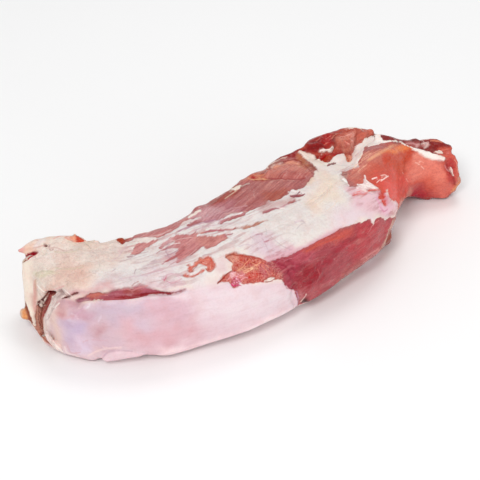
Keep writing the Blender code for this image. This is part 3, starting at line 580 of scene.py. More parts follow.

# Thin lines: red, green, blue, half width in pixels, strength, line. Rows marked below are painted
# highlights and glints of the wet surface.
# light pink strokes here are partly pale threads and partly painted highlights of the wet surface
# the next four rows are painted highlights on the centre of the head lobe
# the next row is a painted glint on the knuckle
# the next row is a painted glint on the ragged tail end
# the next row is a painted highlight along the top edge of the head lobe
# the next row is a painted highlight in the notch
# the next row is a painted highlight on the back strip
# the next row is a painted highlight on the edge of the fold
# the next row is a painted highlight on the tail's white seam
# the next six rows are painted glints on the knuckle and at its right end
# the next three rows are painted highlights on the top of the tail
# the pale strokes here are painted highlights on the knuckle
LINES = rows_in("""
# blunt end
214 176 168 0.8 0.8  35,248.6 40,247.8 44,246.6
226 170 160 1 0.7  55,239 62,236.8 69,238.6 74,241.6
232 152 128 0.9 0.8  66,239.6 72,241.6 78,243.2 84,242.4
196 178 166 0.8 0.7  84,243.6 88,246 90,248.2
206 172 164 0.8 0.7  49,249.2 56,248.8 64,251 72,250.8
176 128 132 0.6 0.8  50.4,247.8 50.2,250 51.6,251.8 53,250.6
214 200 176 0.9 0.6  56,253 66,254 76,252.6 79,250.4
200 190 164 1.4 0.55  38,273.6 44,272.4 52,272.6
208 196 170 1.2 0.5  58,269.4 66,270.6 74,269.6 82,268.6
222 160 152 1.6 0.55  36.4,282 35.6,290 36,300 35.6,310
196 150 120 0.8 0.6  37.6,281 37,285 36.4,289
250 240 232 0.9 0.9  39,285.6 42,288.6 45.4,291.8
206 186 176 0.7 0.6  39,290 41,293.6 42.6,297
206 188 182 0.7 0.7  51,306 54.4,304 57,300 62,296.6
180 158 152 0.7 0.7  49.4,318 51.6,314.4 53,311 54.6,308
196 178 170 0.5 0.5  47,333 49.4,337.4 52,341.4 55,345
196 174 166 0.5 0.5  47.6,337 50.6,342 54.6,346.8 60,351.4
244 232 224 0.8 0.8  50,337.4 53,342 57,346.4 62,350.4
122 48 50 0.9 0.8  49,296 46.4,300.4 43.6,305 41.8,309.4
198 170 160 0.8 0.8  38.4,303 41,305 43,307.4
206 180 172 0.8 0.8  40.4,300 44,302.4 46.6,299
86 66 56 0.6 0.8  22.2,264.8 22.8,261.4 25,258.8 28,256.8
224 160 158 0.8 0.6  46.6,291 52,289.6 58,288 64,286.4
98 52 50 0.45 0.8  38.4,302 39,310 38.6,318 40,326 43,334
112 56 52 0.45 0.8  44,304 42,310 41,317 41.4,325 44,333
206 160 142 0.5 0.7  37.4,309 37.2,316 38.4,324 41,331
190 128 116 0.45 0.7  47.6,303 44.6,309 42.4,315 42.6,324
214 190 176 0.5 0.8  40,299.6 41.6,303 44.4,306.4
220 196 184 0.5 0.8  41.6,306 44.6,301.4 47.4,296.4
134 76 66 0.6 0.8  40.6,334 43.4,339 47,343.4 51,347.4
150 138 132 0.5 0.7  56,292.4 60,291.4 63,292
168 150 146 0.5 0.35  51.4,300 50,307 47.4,313 46,320
176 158 150 0.5 0.35  59.6,298.4 56,304.6 52.6,309 50.4,314
250 244 238 0.9 0.7  59.4,303.8 57.8,305.4 56.4,306.6
248 240 232 0.6 0.7  64,288.6 67,292 71.6,296
150 120 116 0.5 0.7  62,290 65,294 69,297.6
# side fat
214 170 188 1 0.5  74,318 78,313 84,308.6 88,306
236 218 222 0.9 0.3  73,313.6 76,315.6 78,318
222 162 164 1.8 0.3  60,314 64,318.6 69,317 74,315
238 216 212 1.3 0.3  80,308 83,304.6 88,303.4
214 170 180 1 0.5  84,341 92,338.6 102,339.6 112,339
246 226 220 1.2 0.6  66,347.6 67,351 70,353 78,355.6
216 170 176 0.9 0.6  68.6,346 72,352 80,351.6
206 172 182 1 0.7  103,357.6 106,353.4 111,351 119,350 131,350.6
244 218 212 1.4 0.5  90,354 98,350 108,347.6 120,346.6
236 222 236 1.4 0.25  98.8,321 100.4,318.4 101,316.6
# slit
150 44 54 1 0.7  116,297 130,296 146,293.6 160,293 170,293.4
210 130 120 0.9 0.6  88,296.6 94,294.6 100,294.4 106,295.2
216 150 150 1.1 0.6  120,290 128,289 132,291 137,288.4 146,286.4
160 90 92 0.5 0.7  170,293.2 176,292 181,290.6
236 214 206 0.8 0.9  172.6,293.4 174.6,292
# silverskin, left half
170 128 134 1 0.8  128.6,257.4 131.8,256.8
190 160 164 0.7 0.6  121,263 128,260.6 136,256 147,253
186 158 162 0.6 0.6  113,272 115.4,270
176 150 158 0.7 0.7  134.4,274.6 135.8,271.6
190 168 172 0.7 0.6  142,271 146,269
190 168 172 0.7 0.6  151.4,263 155,261.4
190 170 170 0.7 0.6  160,277.8 163,277.2
178 128 128 0.8 0.7  133,285.6 135.4,283.6 137.6,282.8
196 184 178 0.7 0.6  128,283 131,281.6
208 176 186 0.8 0.5  120,280 134,277.6 146,276.6
204 180 188 0.8 0.5  144,267 152,264.6 160,262.6
212 168 180 0.8 0.6  149,274.6 156,272.4 162,271.4
204 160 172 0.9 0.6  163,279 168,275.4 174,274.6 180,276.4
204 150 160 0.8 0.6  172,284 177,282.6 181,280
200 92 120 0.6 0.8  165,280.8 166.6,278.4
206 112 136 0.4 0.6  166.4,281.6 168,282.8 169.6,283.4
222 170 184 0.9 0.5  168,277 172,275.6 177,277 180,280
206 172 184 0.6 0.5  112,262 118,258 124,250 127,246
214 164 170 1.2 0.4  119,252 124,250.6 130,250
176 140 150 0.9 0.6  168,244 166,250 167,256 171,258.4
176 96 104 0.5 0.8  157.6,253.6 162,250.4 168,248.2
182 104 112 0.5 0.8  163,264.6 169,259.6 176,255.4
190 120 128 0.5 0.7  170,266 176,262.2 181,258.6
236 218 214 0.5 0.8  161,250.4 166,246.8 172,244.4 179,243
230 200 196 0.4 0.7  180,262 188,256 196,250
232 206 200 0.4 0.6  172,241 182,238.6 192,237.6
176 120 132 0.9 0.8  176.6,251.4 172,254 166.4,256.4
186 150 156 0.9 0.6  204,256 207,255 210,255.4
# silverskin, streaks towards the back
184 130 148 1 0.8  180,232 186,229 194,225.6 204,222.4 214,220
196 150 166 0.8 0.7  188,229.4 196,226 206,223.6 220,221
204 166 176 0.8 0.6  196,231 208,227 222,225 232,224
186 112 124 0.8 0.8  206,232 214,230.6 222,230.6 228.6,230.4
186 116 124 0.9 0.8  225,236.6 228,235.6 231.4,235
196 130 132 0.8 0.7  212,235.4 218,234 223,233
196 158 160 0.7 0.6  208,236 216,234.4
176 112 120 1 0.8  264,213.6 268,211 274,209.4 279,209.4
190 124 136 0.9 0.7  281,208 285,206 288,205.2
150 84 92 1 0.9  291.6,196.6 296,195.6 299,193.4
150 84 90 1 0.9  294,197.6 299,197.2 303.4,195.2
246 232 228 1.2 0.9  290,192 293,191.4 295,192.4
244 230 224 1 0.9  280,209.6 283,209.2
188 170 172 0.9 0.8  300,222 303,222.2 304.4,223.6
198 184 186 0.8 0.7  304,224 300,226 297,229
210 186 196 1.6 0.5  296,223 300,221.6 303,222
196 186 186 0.7 0.7  266,235.6 266.4,233 265.6,230.4
186 142 152 0.9 0.8  257,235.6 261,235.2
182 110 122 0.8 0.8  263.6,242.6 267,242
196 164 176 0.5 0.5  262,240 265,245 268,251 269.4,256
196 164 172 0.5 0.5  271,238 276,242 283,246.6 290,249.6
190 178 182 0.7 0.6  251,238 253,239.6
204 180 190 0.8 0.6  240,247 246,245 252,246.6
140 40 44 1.5 0.5  446,160 448.6,168 452.6,177 455,184
236 170 150 0.4 0.7  455,160 457,166 457.6,171
230 206 180 0.6 0.5  331,186 330,191 326,196 321,203 312,208
232 206 184 0.7 0.4  336,203 333,207 327,211
206 194 184 0.5 0.5  306,204 313,199 322,195 329,188
206 194 190 0.8 0.5  276,229 283,226 292,226.6
210 200 194 0.8 0.5  280,236 288,234 296,236
# top meat
234 214 196 1.2 0.9  231,190 235,187.8 241,186.4
196 176 166 0.9 0.8  241,187 245,184.6 248,183.6
150 104 98 0.9 0.8  241,187.4 243.6,186
222 196 172 0.8 0.7  226,198 231,194.6 236,191
232 178 134 0.5 0.8  247,176.4 252,179.4 260,178.8 268,179.4
226 150 112 0.4 0.8  253.4,173.6 258,175.4 264,174.4
150 60 52 0.7 0.8  253,180.4 262,180.6 272,179.4
160 74 74 0.8 0.8  270,178 280,178.2 292,178.8 304,178.4
140 60 52 0.9 0.8  270,166.4 277,163 285,160.6 294,160 302,162.6
150 70 60 0.6 0.7  302,163.4 307,167.6 311.6,173
206 160 148 0.5 0.6  268,184.6 273,180.6 280,179 294,180.4
214 172 160 0.6 0.8  266,165.4 272,161.4 280,158.6 286,157
230 206 190 0.8 0.8  276,160.6 281,158 285,157.4
214 170 160 0.8 0.6  226,214 238,212.6 246,212
212 160 164 0.8 0.6  204,219.6 216,214 232,209 246,206
228 200 196 0.9 0.8  181,225.6 184,223 190,220
206 128 96 1 0.8  192,209.6 196,206.6 200,205.2
224 190 186 0.8 0.6  150,236.6 160,234.6 170,230
# star and head lobe
196 118 128 1 0.7  357,155.4 359,153.8
168 104 98 0.6 0.8  343,172.6 346.4,172.4 349,173.8
150 92 88 0.8 0.8  341.6,175.4 345.6,175
206 196 186 0.8 0.7  339.6,176.6 342,181 347,184.6
250 240 236 0.9 0.9  342.6,179.6 345.6,181.8 348,184.6
208 192 188 1 0.7  346,170.6 352,168.8 358,166.6
186 24 16 1.1 0.9  318,157.4 326,154.6 336,152.6 346,152.4
252 228 222 0.8 0.9  321,151 324.4,150 329,149.6 332.4,147.8
236 150 120 1 0.7  338,131.6 335.6,134 333,137
226 130 110 0.7 0.7  325,144 326.4,143.2
# knuckle and tail
248 204 178 0.35 0.8  353,169 357,165.6 362,162
246 196 166 0.35 0.7  358,171.6 363,167.6 367,164.8
244 190 160 0.35 0.7  362,159.4 367,155.4 371,153.2
182 96 86 0.8 0.5  350,176 357,171 363,166.4
236 164 144 0.5 0.6  355,166 364,160 372,154 380,149.6
226 146 128 0.4 0.6  352,172 360,168 368,163 376,156
236 176 150 0.5 0.6  360,157.6 364,154.4 368,151.6
228 142 124 0.4 0.6  353,178 362,172 370,166
255 226 220 0.9 0.95  373.6,178.4 375.4,177.8
252 214 204 0.7 0.9  377.6,181.8 379.6,180 383,179.4
255 224 214 0.8 0.9  381.6,180.6 384.6,178.4 387.4,176.6
252 210 198 0.7 0.8  382,175.4 385,174.8 387,176.2
250 196 182 0.5 0.6  402,171.6 402.8,173
248 184 172 0.5 0.6  406.6,179.4 407.6,181
222 156 112 0.8 0.6  452,191 456,187 460,183
240 190 184 0.6 0.7  449.6,168.6 451.8,171 452.4,174.6
226 160 160 0.9 0.7  446,166.6 447.6,170 449.6,172
222 120 100 0.6 0.8  436,150.6 441,148.8 448,148.4
250 222 214 0.9 0.9  437,150.8 440.4,151.8
230 208 200 1.1 0.5  423,143.6 427,144.4 426,146.4
206 150 150 0.9 0.7  408,143 413,143.2 417,145.2
236 150 120 0.8 0.6  432,139.6 437,140.4 441,142.2
110 16 16 1.8 0.4  340,130.6 335,134.6 333.4,140 334.8,146 331,149
140 40 32 1.4 0.25  352,131 349,134 351,138 354.6,140
140 30 22 1.4 0.3  341,147.6 347,146.4 353,147.6
120 14 12 0.6 0.9  316,158.6 326,156 336,154.2 344,153.8
150 70 54 0.5 0.7  347.6,155 348.6,158 349.6,160.8
232 170 150 0.4 0.8  350.4,154.6 351,157 350.6,159.6
130 34 26 1.4 0.3  363,130.8 358,134 356.2,139 357.4,143
236 140 134 0.4 0.6  410,187.6 410.8,189.8
246 230 222 1 0.8  344,127.8 350,127.8 357,128.4 363,129.2
90 8 8 1.6 0.25  312,148.6 318,147.4 323,145
90 8 8 1.6 0.2  309,143.6 315,142 320,139
214 120 104 0.45 0.7  311,143.4 312.6,142.8
222 130 112 0.45 0.7  317,138.8 319.4,138.2
222 130 112 0.45 0.7  327,136.6 330,135.4
210 110 92 0.5 0.6  358,136.4 363,133.4 368,132.4
210 110 92 0.5 0.6  359,139 364,136.4 369,134.6
252 200 184 0.8 0.7  416.6,163.2 418.4,164.2
250 186 168 0.5 0.7  420,161 423,162.4
252 198 182 0.7 0.7  422,167 423.4,168.4
236 164 150 0.5 0.7  341,137 344,136.6
240 176 166 0.5 0.7  347,134.6 350,134
244 190 180 0.5 0.8  351,139 354,141
238 160 146 0.5 0.7  345,143 348,145
# veil
222 104 98 0.5 0.7  353,196.4 358,194 363,194.4 368,192.6
226 124 120 0.4 0.7  354,193.6 357.6,191.8 361,191.6
230 96 86 0.6 0.8  367,191.6 372,190 377.6,190.4
244 228 224 1.2 0.9  365,177 366.4,181.4 371,184.6 376,187.4
250 236 230 1.2 0.9  359,184.6 366,186 374,188.4
244 222 220 1.2 0.8  358,188.6 364,191 370,192.4
206 120 150 0.8 0.7  380,208 383,211.6 386,210
228 160 190 1.2 0.6  376,198 379,204 382,210
206 180 190 0.6 0.6  369,193 371,195 374,194
# big muscle on the right
206 112 122 0.35 0.5  301,262 304,260.4 308,259.6
218 136 152 0.4 0.7  276,258.6 279,257 282,256.8
214 130 146 0.4 0.6  285,261.4 288,259.4 291,258.6
206 116 130 0.35 0.5  289,268 292,266.4 294.6,266.2
208 118 130 0.35 0.5  297,255.6 301,253.8 304,253.4
204 106 122 0.35 0.45  322,285 326,283 329,280.8
206 116 124 0.35 0.5  332,280.6 337,276.6 341,274.4
204 112 116 0.35 0.45  358,248.6 362,245.4 365,243
202 108 112 0.35 0.4  342,258.6 346,255.4 350,252.8
204 108 120 0.35 0.4  306,287 311,284.4 315,281.8
192 92 104 0.4 0.5  309,258 322,251.4 336,247.4 352,244
190 90 104 0.9 0.5  272,268 280,266 286,268.6
196 112 124 0.5 0.6  277,262.6 282,259.6 287,260.6
216 140 142 0.7 0.7  362,259 370,254 378,248.6
214 144 140 0.7 0.7  364,262 372,256.6 381,250
220 160 150 0.7 0.6  367,257.4 374,252 379,249.8
200 106 114 0.4 0.5  346,247 351,245 355,243.6
204 110 112 0.7 0.5  318,270 319.6,276 317,282
230 150 146 0.5 0.7  371,228 373,224.6 378,221
210 140 140 0.4 0.6  367.6,233 370,230 372,226
222 188 166 0.7 0.55  382,249.6 386,241 389.6,230 392.4,221.6
206 96 80 1.3 0.5  308,250.6 318,245.6 330,240.6 342,236.4
# orange patch and ring
150 70 50 0.9 0.7  226,257.6 229,254.6 234,253.2
182 78 66 0.8 0.7  232,253.6 244,255.6 256,257.6 264,260.6
238 170 134 0.4 0.8  238,270 243,266.4 247,261.6 250,259.4
240 184 150 0.4 0.8  244,270.6 250,268.4 257,264.6 261,262.8
244 206 172 0.6 0.8  245,272.6 250,270.6 252.6,268.4
236 160 126 0.4 0.7  252,262 256,264.6 258,268.6
236 186 156 0.4 0.7  230,258 233,262 232,267
236 150 120 0.4 0.7  262,266 266,270 269,275
236 140 110 0.4 0.7  256,260.4 263,263.6 270,268
234 160 130 0.4 0.6  234,256 238,260 243,262
252 224 234 0.3 0.7  227.6,279.4 230.4,277.4
252 218 230 0.3 0.7  229,274.6 232,273 235,272.4
252 214 230 0.3 0.7  231.4,277.6 233.6,276 236.8,276.4
252 226 236 0.3 0.7  238,274.4 240.6,276 243.8,274.8
250 206 222 0.3 0.7  241.6,279.4 244.4,277.6 247,277.8
252 220 236 0.3 0.7  236.4,279 238,281.6 240.6,282.4
250 196 220 0.3 0.7  232.4,283.4 234.6,282 236.2,283.8
210 60 120 0.6 0.9  232,284.8 234,286.2 236.4,285
190 50 110 0.5 0.9  237.6,284.6 240,285.4
178 40 84 0.6 0.9  233.4,279.4 235,278.4
186 60 100 0.5 0.8  239,279.8 240.6,281.6
150 60 50 0.7 0.9  218,283 223,278.6 227,274 231,271.6
150 84 70 0.5 0.9  266,281.8 270,281 274,278.4
156 70 60 0.5 0.8  264,279.6 268,277.2 274,275.8
230 140 116 0.5 0.7  196,264 201,260 208,259.4
196 80 60 0.9 0.7  211,259 212,264 211,268
244 214 200 0.4 0.5  203.6,262.8 206,263.2
244 214 200 0.4 0.5  209.6,266.8 210.4,268
158 82 64 0.45 0.8  188,271.2 191.6,272.4 193.4,269.8 196.4,267.2
158 82 64 0.45 0.8  205.6,269 209.4,271.6 213,270 214.8,266.6
168 96 80 0.4 0.7  195.6,262.4 198.6,260.6 199.4,257.8 203,259
# corner of the side fat
244 200 206 0.8 0.8  287,287 289.4,290 294,291.4
196 150 176 1 0.7  297.6,294 298.6,299 297.4,304
238 206 196 0.6 0.9  305.4,294.8 303.8,298.8 300.8,303.4
""")

# ---------------------------------------------------------------------------------------------
# Measuring points against outlines
# ---------------------------------------------------------------------------------------------

# Distances in pixels: how far outlines and lines are felt, and how far inside it the rim is pulled.
REACH = 40.0
LINE_REACH = 6.0
RIM_PULL = 8.0

# How far from edge-on the surface still counts as the rim, and the least length of a step squared.
RIM_WIDTH = 0.35
LEAST_STEP = 1e-9

# Patterns of noise: size of the bumps in metres along, across and up, and the seed.
NOISES = {
    "wide sway 1": (0.010, 0.010, 0.010, 21.0),
    "fine sway 1": (0.004, 0.004, 0.004, 21.0),
    "wide sway 2": (0.010, 0.010, 0.010, 23.0),
    "fine sway 2": (0.004, 0.004, 0.004, 23.0),
    "ragged edge": (0.006, 0.0018, 0.0018, 31.0),
    "crumbly edge": (0.0016, 0.0016, 0.0016, 32.0),
    "lumps": (0.0065, 0.0065, 0.0065, 11.0),
    "small lumps": (0.0028, 0.0028, 0.0028, 12.0),
    "fibres": (0.030, 0.0024, 0.0024, 2.0),
    "fine fibres": (0.016, 0.0012, 0.0012, 13.0),
    "strands": (0.026, 0.0045, 0.0045, 4.0),
    "folds": (0.008, 0.008, 0.008, 14.0),
    "swells": (0.011, 0.011, 0.011, 6.0),
    "grains": (0.0022, 0.0022, 0.0022, 16.0),
    "hidden seams": (0.095, 0.024, 0.024, 41.0),
    "hidden areas": (0.050, 0.018, 0.018, 3.0),
    "hidden ragged": (0.014, 0.005, 0.005, 7.0),
    "hidden frayed": (0.006, 0.002, 0.002, 8.0),
    "hidden threads": (0.050, 0.013, 0.013, 9.0),
    "hidden film": (0.055, 0.016, 0.016, 19.0),
    "hidden mauve": (0.03, 0.03, 0.03, 5.0),
    "hidden red": (0.03, 0.012, 0.012, 15.0),
    "hidden sheen": (0.020, 0.006, 0.006, 51.0),
}


def view_axes():
    """Right, up and back of the reference view."""
    back = np.array((
        math.sin(AZIMUTH) * math.cos(ELEVATION),
        -math.cos(AZIMUTH) * math.cos(ELEVATION),
        math.sin(ELEVATION),
    ))
    right = np.array((math.cos(AZIMUTH), math.sin(AZIMUTH), 0.0))
    return right, np.cross(back, right), back


def view_eye():
    """The place that the reference view looks from."""
    return TARGET + view_axes()[2] * DISTANCE


def photo_place(points):
    """Pixel places of the points in the reference view, and unit vectors from them to its eye."""
    right, up, back = view_axes()
    ray = points - view_eye()
    depth = -(ray @ back)
    places = np.stack(
        [PICTURE / 2 + FOCAL * (ray @ right) / depth, PICTURE / 2 - FOCAL * (ray @ up) / depth], 1
    )
    return places, -ray / np.linalg.norm(ray, axis=1)[:, None]


def photo_ray(x, y):
    """The reference view's eye, and the step along its ray through a pixel for each metre of depth."""
    right, up, back = view_axes()
    return view_eye(), right * (x - PICTURE / 2) / FOCAL + up * (PICTURE / 2 - y) / FOCAL - back


def smoothstep(low, high, value):
    """A smooth rise from 0 to 1 as the value goes from low to high."""
    t = np.clip((value - low) / (high - low), 0, 1)
    return t * t * (3 - 2 * t)


def bell(value, width):
    """One at zero, falling smoothly on both sides."""
    return np.exp(-((value / width) ** 2))


def rounded(points, closed=True, steps=3):
    """A Catmull-Rom curve through the points, with this many steps from each to the next."""
    points = np.array(points, float)
    if closed:
        padded = np.vstack([points[-1], points, points[0], points[1]])
    else:
        padded = np.vstack([2 * points[0] - points[1], points, 2 * points[-1] - points[-2]])
    made = []
    for p0, p1, p2, p3 in zip(padded, padded[1:], padded[2:], padded[3:]):
        for t in np.arange(steps) / steps:
            made.append(0.5 * (2 * p1 + (p2 - p0) * t + (2 * p0 - 5 * p1 + 4 * p2 - p3) * t**2
                               + (3 * p1 - p0 - 3 * p2 + p3) * t**3))
    if not closed:
        made.append(points[-1])
    return np.array(made)


def step_distance(places, a, b):
    """Distance of every place from the straight step from a to b."""
    along = np.clip((places - a) @ (b - a) / max((b - a) @ (b - a), LEAST_STEP), 0, 1)
    return np.linalg.norm(places - a - along[:, None] * (b - a), axis=1)


def path_distance(places, path):
    """Distance of every place from the polyline."""
    best = np.full(len(places), np.inf)
    for a, b in zip(path, path[1:]):
        best = np.minimum(best, step_distance(places, a, b))
    return best


def beside_step(places, a, ahead, length):
    """How far each place lies along a straight step, away from it, and to one side of it."""
    offset = places - a
    along = np.clip(offset @ ahead, 0, length)
    away = np.linalg.norm(offset - along[:, None] * ahead, axis=1)
    return along, away, offset[:, 1] * ahead[0] - offset[:, 0] * ahead[1]


def outline_shift(places, facing):
    """How far each place moves, in pixels, to bring the form's rim onto the outline."""
    curve = rounded(OUTLINE, steps=2)
    closed = np.vstack([curve, curve[0]])
    around = np.sum(closed[:-1, 0] * closed[1:, 1] - closed[1:, 0] * closed[:-1, 1])
    best = np.full(len(places), np.inf)
    outward = np.zeros_like(places)
    for a, b in zip(closed, closed[1:]):
        away = step_distance(places, a, b)
        closer = away < best
        best = np.where(closer, away, best)
        normal = np.array((b[1] - a[1], a[0] - b[0])) * np.sign(around)
        outward = np.where(closer[:, None], normal / np.linalg.norm(normal), outward)
    depth = np.where(within(places, closed), best, -best) - OUTLINE_INSET
    rim = bell(facing, RIM_WIDTH) * smoothstep(RIM_PULL, 0.5 * RIM_PULL, depth)
    return outward * (depth * np.where(depth < 0, 1.0, rim))[:, None]


def within(places, closed):
    """Whether each place lies inside the closed polyline."""
    result = np.zeros(len(places), bool)
    for (x1, y1), (x2, y2) in zip(closed, closed[1:]):
        if y1 != y2:
            spans = (places[:, 1] < y1) != (places[:, 1] < y2)
            crossing = x1 + (places[:, 1] - y1) * (x2 - x1) / (y2 - y1)
            result ^= spans & (places[:, 0] < crossing)
    return result


def nearest_line(places, lines):
    """For every place: signed offset from its nearest line, distance, half width, colour and strength."""
    away, offset = np.full(len(places), REACH), np.full(len(places), REACH)
    half = np.ones(len(places))
    tint = np.zeros((len(places), 4))
    for (*shade, half_width, strength), line in lines:
        curve = rounded(line, closed=False)
        close = ((places > curve.min(0) - LINE_REACH) & (places < curve.max(0) + LINE_REACH)).all(1)
        spots = places[close]
        best, side = away[close], offset[close]
        taken = np.zeros(len(spots), bool)
        for a, b in zip(curve, curve[1:]):
            length = np.linalg.norm(b - a)
            _, distance, turned = beside_step(spots, a, (b - a) / length, length)
            closer = distance < best
            best = np.where(closer, distance, best)
            side = np.where(closer, turned, side)
            taken |= closer
        away[close], offset[close] = best, side
        places_taken = np.flatnonzero(close)[taken]
        half[places_taken] = half_width
        tint[places_taken] = (*colour(*shade), strength)
    return offset, away, half, tint


def inside(places, outline):
    """Signed distance from the outline in pixels, positive inside, no further than REACH."""
    curve = rounded(outline)
    low, high = curve.min(0) - REACH, curve.max(0) + REACH
    near = ((places > low) & (places < high)).all(1)
    result = np.full(len(places), -REACH)
    spots = places[near]
    closed = np.vstack([curve, curve[0]])
    away = np.minimum(path_distance(spots, closed), REACH)
    result[near] = np.where(within(spots, closed), away, -away)
    return result


def grain_places(points):
    """Where each point lies in the flow of the fibres: along the piece, across it, and up."""
    line = rounded(MIDDLE_LINE, closed=False, steps=8) * MM
    steps = np.diff(line, axis=0)
    lengths = np.linalg.norm(steps, axis=1)
    starts = np.concatenate([[0], np.cumsum(lengths)[:-1]])
    best = np.full(len(points), np.inf)
    along, across = np.zeros(len(points)), np.zeros(len(points))
    for a, step, length, start in zip(line, steps, lengths, starts):
        t, away, side = beside_step(points[:, :2], a, step / length, length)
        closer = away < best
        best = np.where(closer, away, best)
        along = np.where(closer, start + t, along)
        across = np.where(closer, side, across)
    return np.stack([along, across, points[:, 2]], 1)


def fibre_flow(grain):
    """The same places sheared, so that meat fibres drift across the piece as they run along it."""
    drift = np.interp(grain[:, 0] / MM, *np.array(FIBRE_DRIFT, float).T) * MM
    return grain - drift[:, None] * np.array((0, 1, 0))


def ripple(places, name):
    """Smooth noise from about -0.5 to 0.5 in the pattern of that name."""
    *sizes, seed = NOISES[name]
    return np.array([noise.noise(Vector(place)) for place in places / np.array(sizes) + seed])


# ---------------------------------------------------------------------------------------------
# The skin: a fine mesh over the form, with its relief
# ---------------------------------------------------------------------------------------------

# Vertices closer than this are one, how often the skin is evened out before each fit to the outline,
# and the heights between which that fit turns from an upward into a level one.
WELD = 1e-6
RELAX_PASSES = (12, 4)
UPWARD_FROM = 12 * MM
LEVEL_BELOW = 3 * MM

# Directions spread evenly over a ball.
BALL_POINTS = 60
BALL_STEPS = np.arange(BALL_POINTS) + 0.5
BALL_HEIGHT = 1 - BALL_STEPS / (BALL_POINTS / 2)
BALL_TURN = BALL_STEPS * math.pi * (1 + math.sqrt(5))
BALL_ROUND = np.sqrt(1 - BALL_HEIGHT**2)
BALL = np.stack([BALL_ROUND * np.cos(BALL_TURN), BALL_ROUND * np.sin(BALL_TURN), BALL_HEIGHT], 1)


def fine_skin(source):
    """A fine, even mesh over the solid, with the scraps grown on and its rim on the outline."""
    mesh = source.data.copy()
    weld = bmesh.new()
    weld.from_mesh(mesh)
    bmesh.ops.remove_doubles(weld, verts=weld.verts, dist=WELD)
    weld.to_mesh(mesh)
    weld.free()
    mesh.materials.clear()
    add_scraps(mesh)
    body = bpy.data.objects.new("pork_tenderloin", mesh)
    bpy.context.scene.collection.objects.link(body)
    remesh = body.modifiers.new("fine", "REMESH")
    remesh.mode = "VOXEL"
    remesh.voxel_size = SKIN_VOXEL
    apply_modifiers(body)
    for passes in RELAX_PASSES:
        relax(body, passes)
        fit_to_outline(body)
    relax(body, 1)
    return body


def add_scraps(mesh):
    """Adds every scrap as tapering hulls, at the depth of the surface that it grows from."""
    work = bmesh.new()
    work.from_mesh(mesh)
    surface = BVHTree.FromBMesh(work)
    hull = bpy.data.meshes.new("hull")
    for _, ((base_x, base_y), *beads) in SCRAPS:
        eye, step = photo_ray(base_x, base_y)
        hit = surface.ray_cast(Vector(eye), Vector(step))[0]
        depth = (np.array(hit) - eye) @ step / (step @ step)
        rounds = []
        for x, y, radius in beads:
            eye, step = photo_ray(x, y)
            rounds.append(eye + step * (depth + radius * MM) + BALL * radius * MM)
        for one, two in zip(rounds, rounds[1:]):
            shell = bmesh.new()
            for spot in np.vstack([one, two]):
                shell.verts.new(spot)
            inner = bmesh.ops.convex_hull(shell, input=shell.verts)["geom_interior"]
            spare = [item for item in inner if isinstance(item, bmesh.types.BMVert)]
            bmesh.ops.delete(shell, geom=spare, context="VERTS")
            shell.to_mesh(hull)
            shell.free()
            work.from_mesh(hull)
    work.to_mesh(mesh)
    work.free()


def fit_to_outline(body):
    """Brings the rim of the form, as the reference view sees it, onto the outline."""
    mesh = body.data
    points, normals = vertex_vectors(mesh, "co"), vertex_vectors(mesh, "normal")
    places, to_eye = photo_place(points)
    shift = outline_shift(places, (normals * to_eye).sum(1)) * PIXEL
    right, up, _ = view_axes()
    level = np.array((-right[1], right[0], 0.0)) / math.sin(ELEVATION)
    low = smoothstep(UPWARD_FROM, LEVEL_BELOW, points[:, 2])[:, None]
    rise = up * (1 - low) + level * low
    set_points(mesh, points + shift[:, :1] * right - shift[:, 1:] * rise)


def set_points(mesh, points):
    """Moves the vertices to the points, none of them below the floor."""
    points[:, 2] = np.maximum(points[:, 2], 0)
    mesh.vertices.foreach_set("co", points.ravel())
    mesh.update()


def relax(body, passes):
    """Evens out the mesh."""
    smooth = body.modifiers.new("relax", "SMOOTH")
    smooth.factor = 0.5
    smooth.iterations = passes
    apply_modifiers(body)


def apply_modifiers(body):
    """Turns the object's modifiers into its mesh."""
    graph = bpy.context.evaluated_depsgraph_get()
    finished = bpy.data.meshes.new_from_object(body.evaluated_get(graph))
    body.modifiers.clear()
    body.data = finished


def thin_out(body, triangles):
    """Keeps this many triangles, the most where the relief is sharp."""
    faces = sum(len(face.vertices) - 2 for face in body.data.polygons)
    decimate = body.modifiers.new("thin_out", "DECIMATE")
    decimate.ratio = min(1.0, triangles / faces)
    apply_modifiers(body)


# The softness of a zone whose edge wanders in full, in pixels, and the most that one may wander.
FULL_WANDER = 5
MOST_WANDER = 1.2


def paint(places, wander, base, zones):
    """Every point's colour: the base with the zones laid over it in order, soft ones wavering."""
    result = np.tile(base, (len(places), 1))
    for (*shade, softness), outline in zones:
        moved = places + wander * min(softness / FULL_WANDER, MOST_WANDER)
        share = smoothstep(-softness, softness, inside(moved, outline))[:, None]
        result = result * (1 - share) + colour(*shade) * share
    return result


def zone_height(places, zones):
    """The largest height that the soft zones give each point."""
    result = np.zeros(len(places))
    for (height, softness), outline in zones:
        result = np.maximum(result, height * smoothstep(-softness, softness, inside(places, outline)))
    return result


def white_edge(places):
    """Signed distance in pixels from the edge of the white layer, painted highlights included, positive on
    it.
    """
    edge = inside(places, FAT)
    for _, outline in WINDOWS:
        edge = np.minimum(edge, -inside(places, outline))
    for _, outline in ISLANDS:
        edge = np.maximum(edge, inside(places, outline))
    return edge


# Colours of the sides that the reference view doesn't reach.
HIDDEN_MEAT = colour(178, 92, 90)
HIDDEN_MAUVE = colour(190, 122, 124)
HIDDEN_RED = colour(160, 62, 62)
HIDDEN_CREAM = colour(230, 209, 197)
HIDDEN_PINK = colour(234, 206, 210)
HIDDEN_FILM = colour(230, 208, 202)

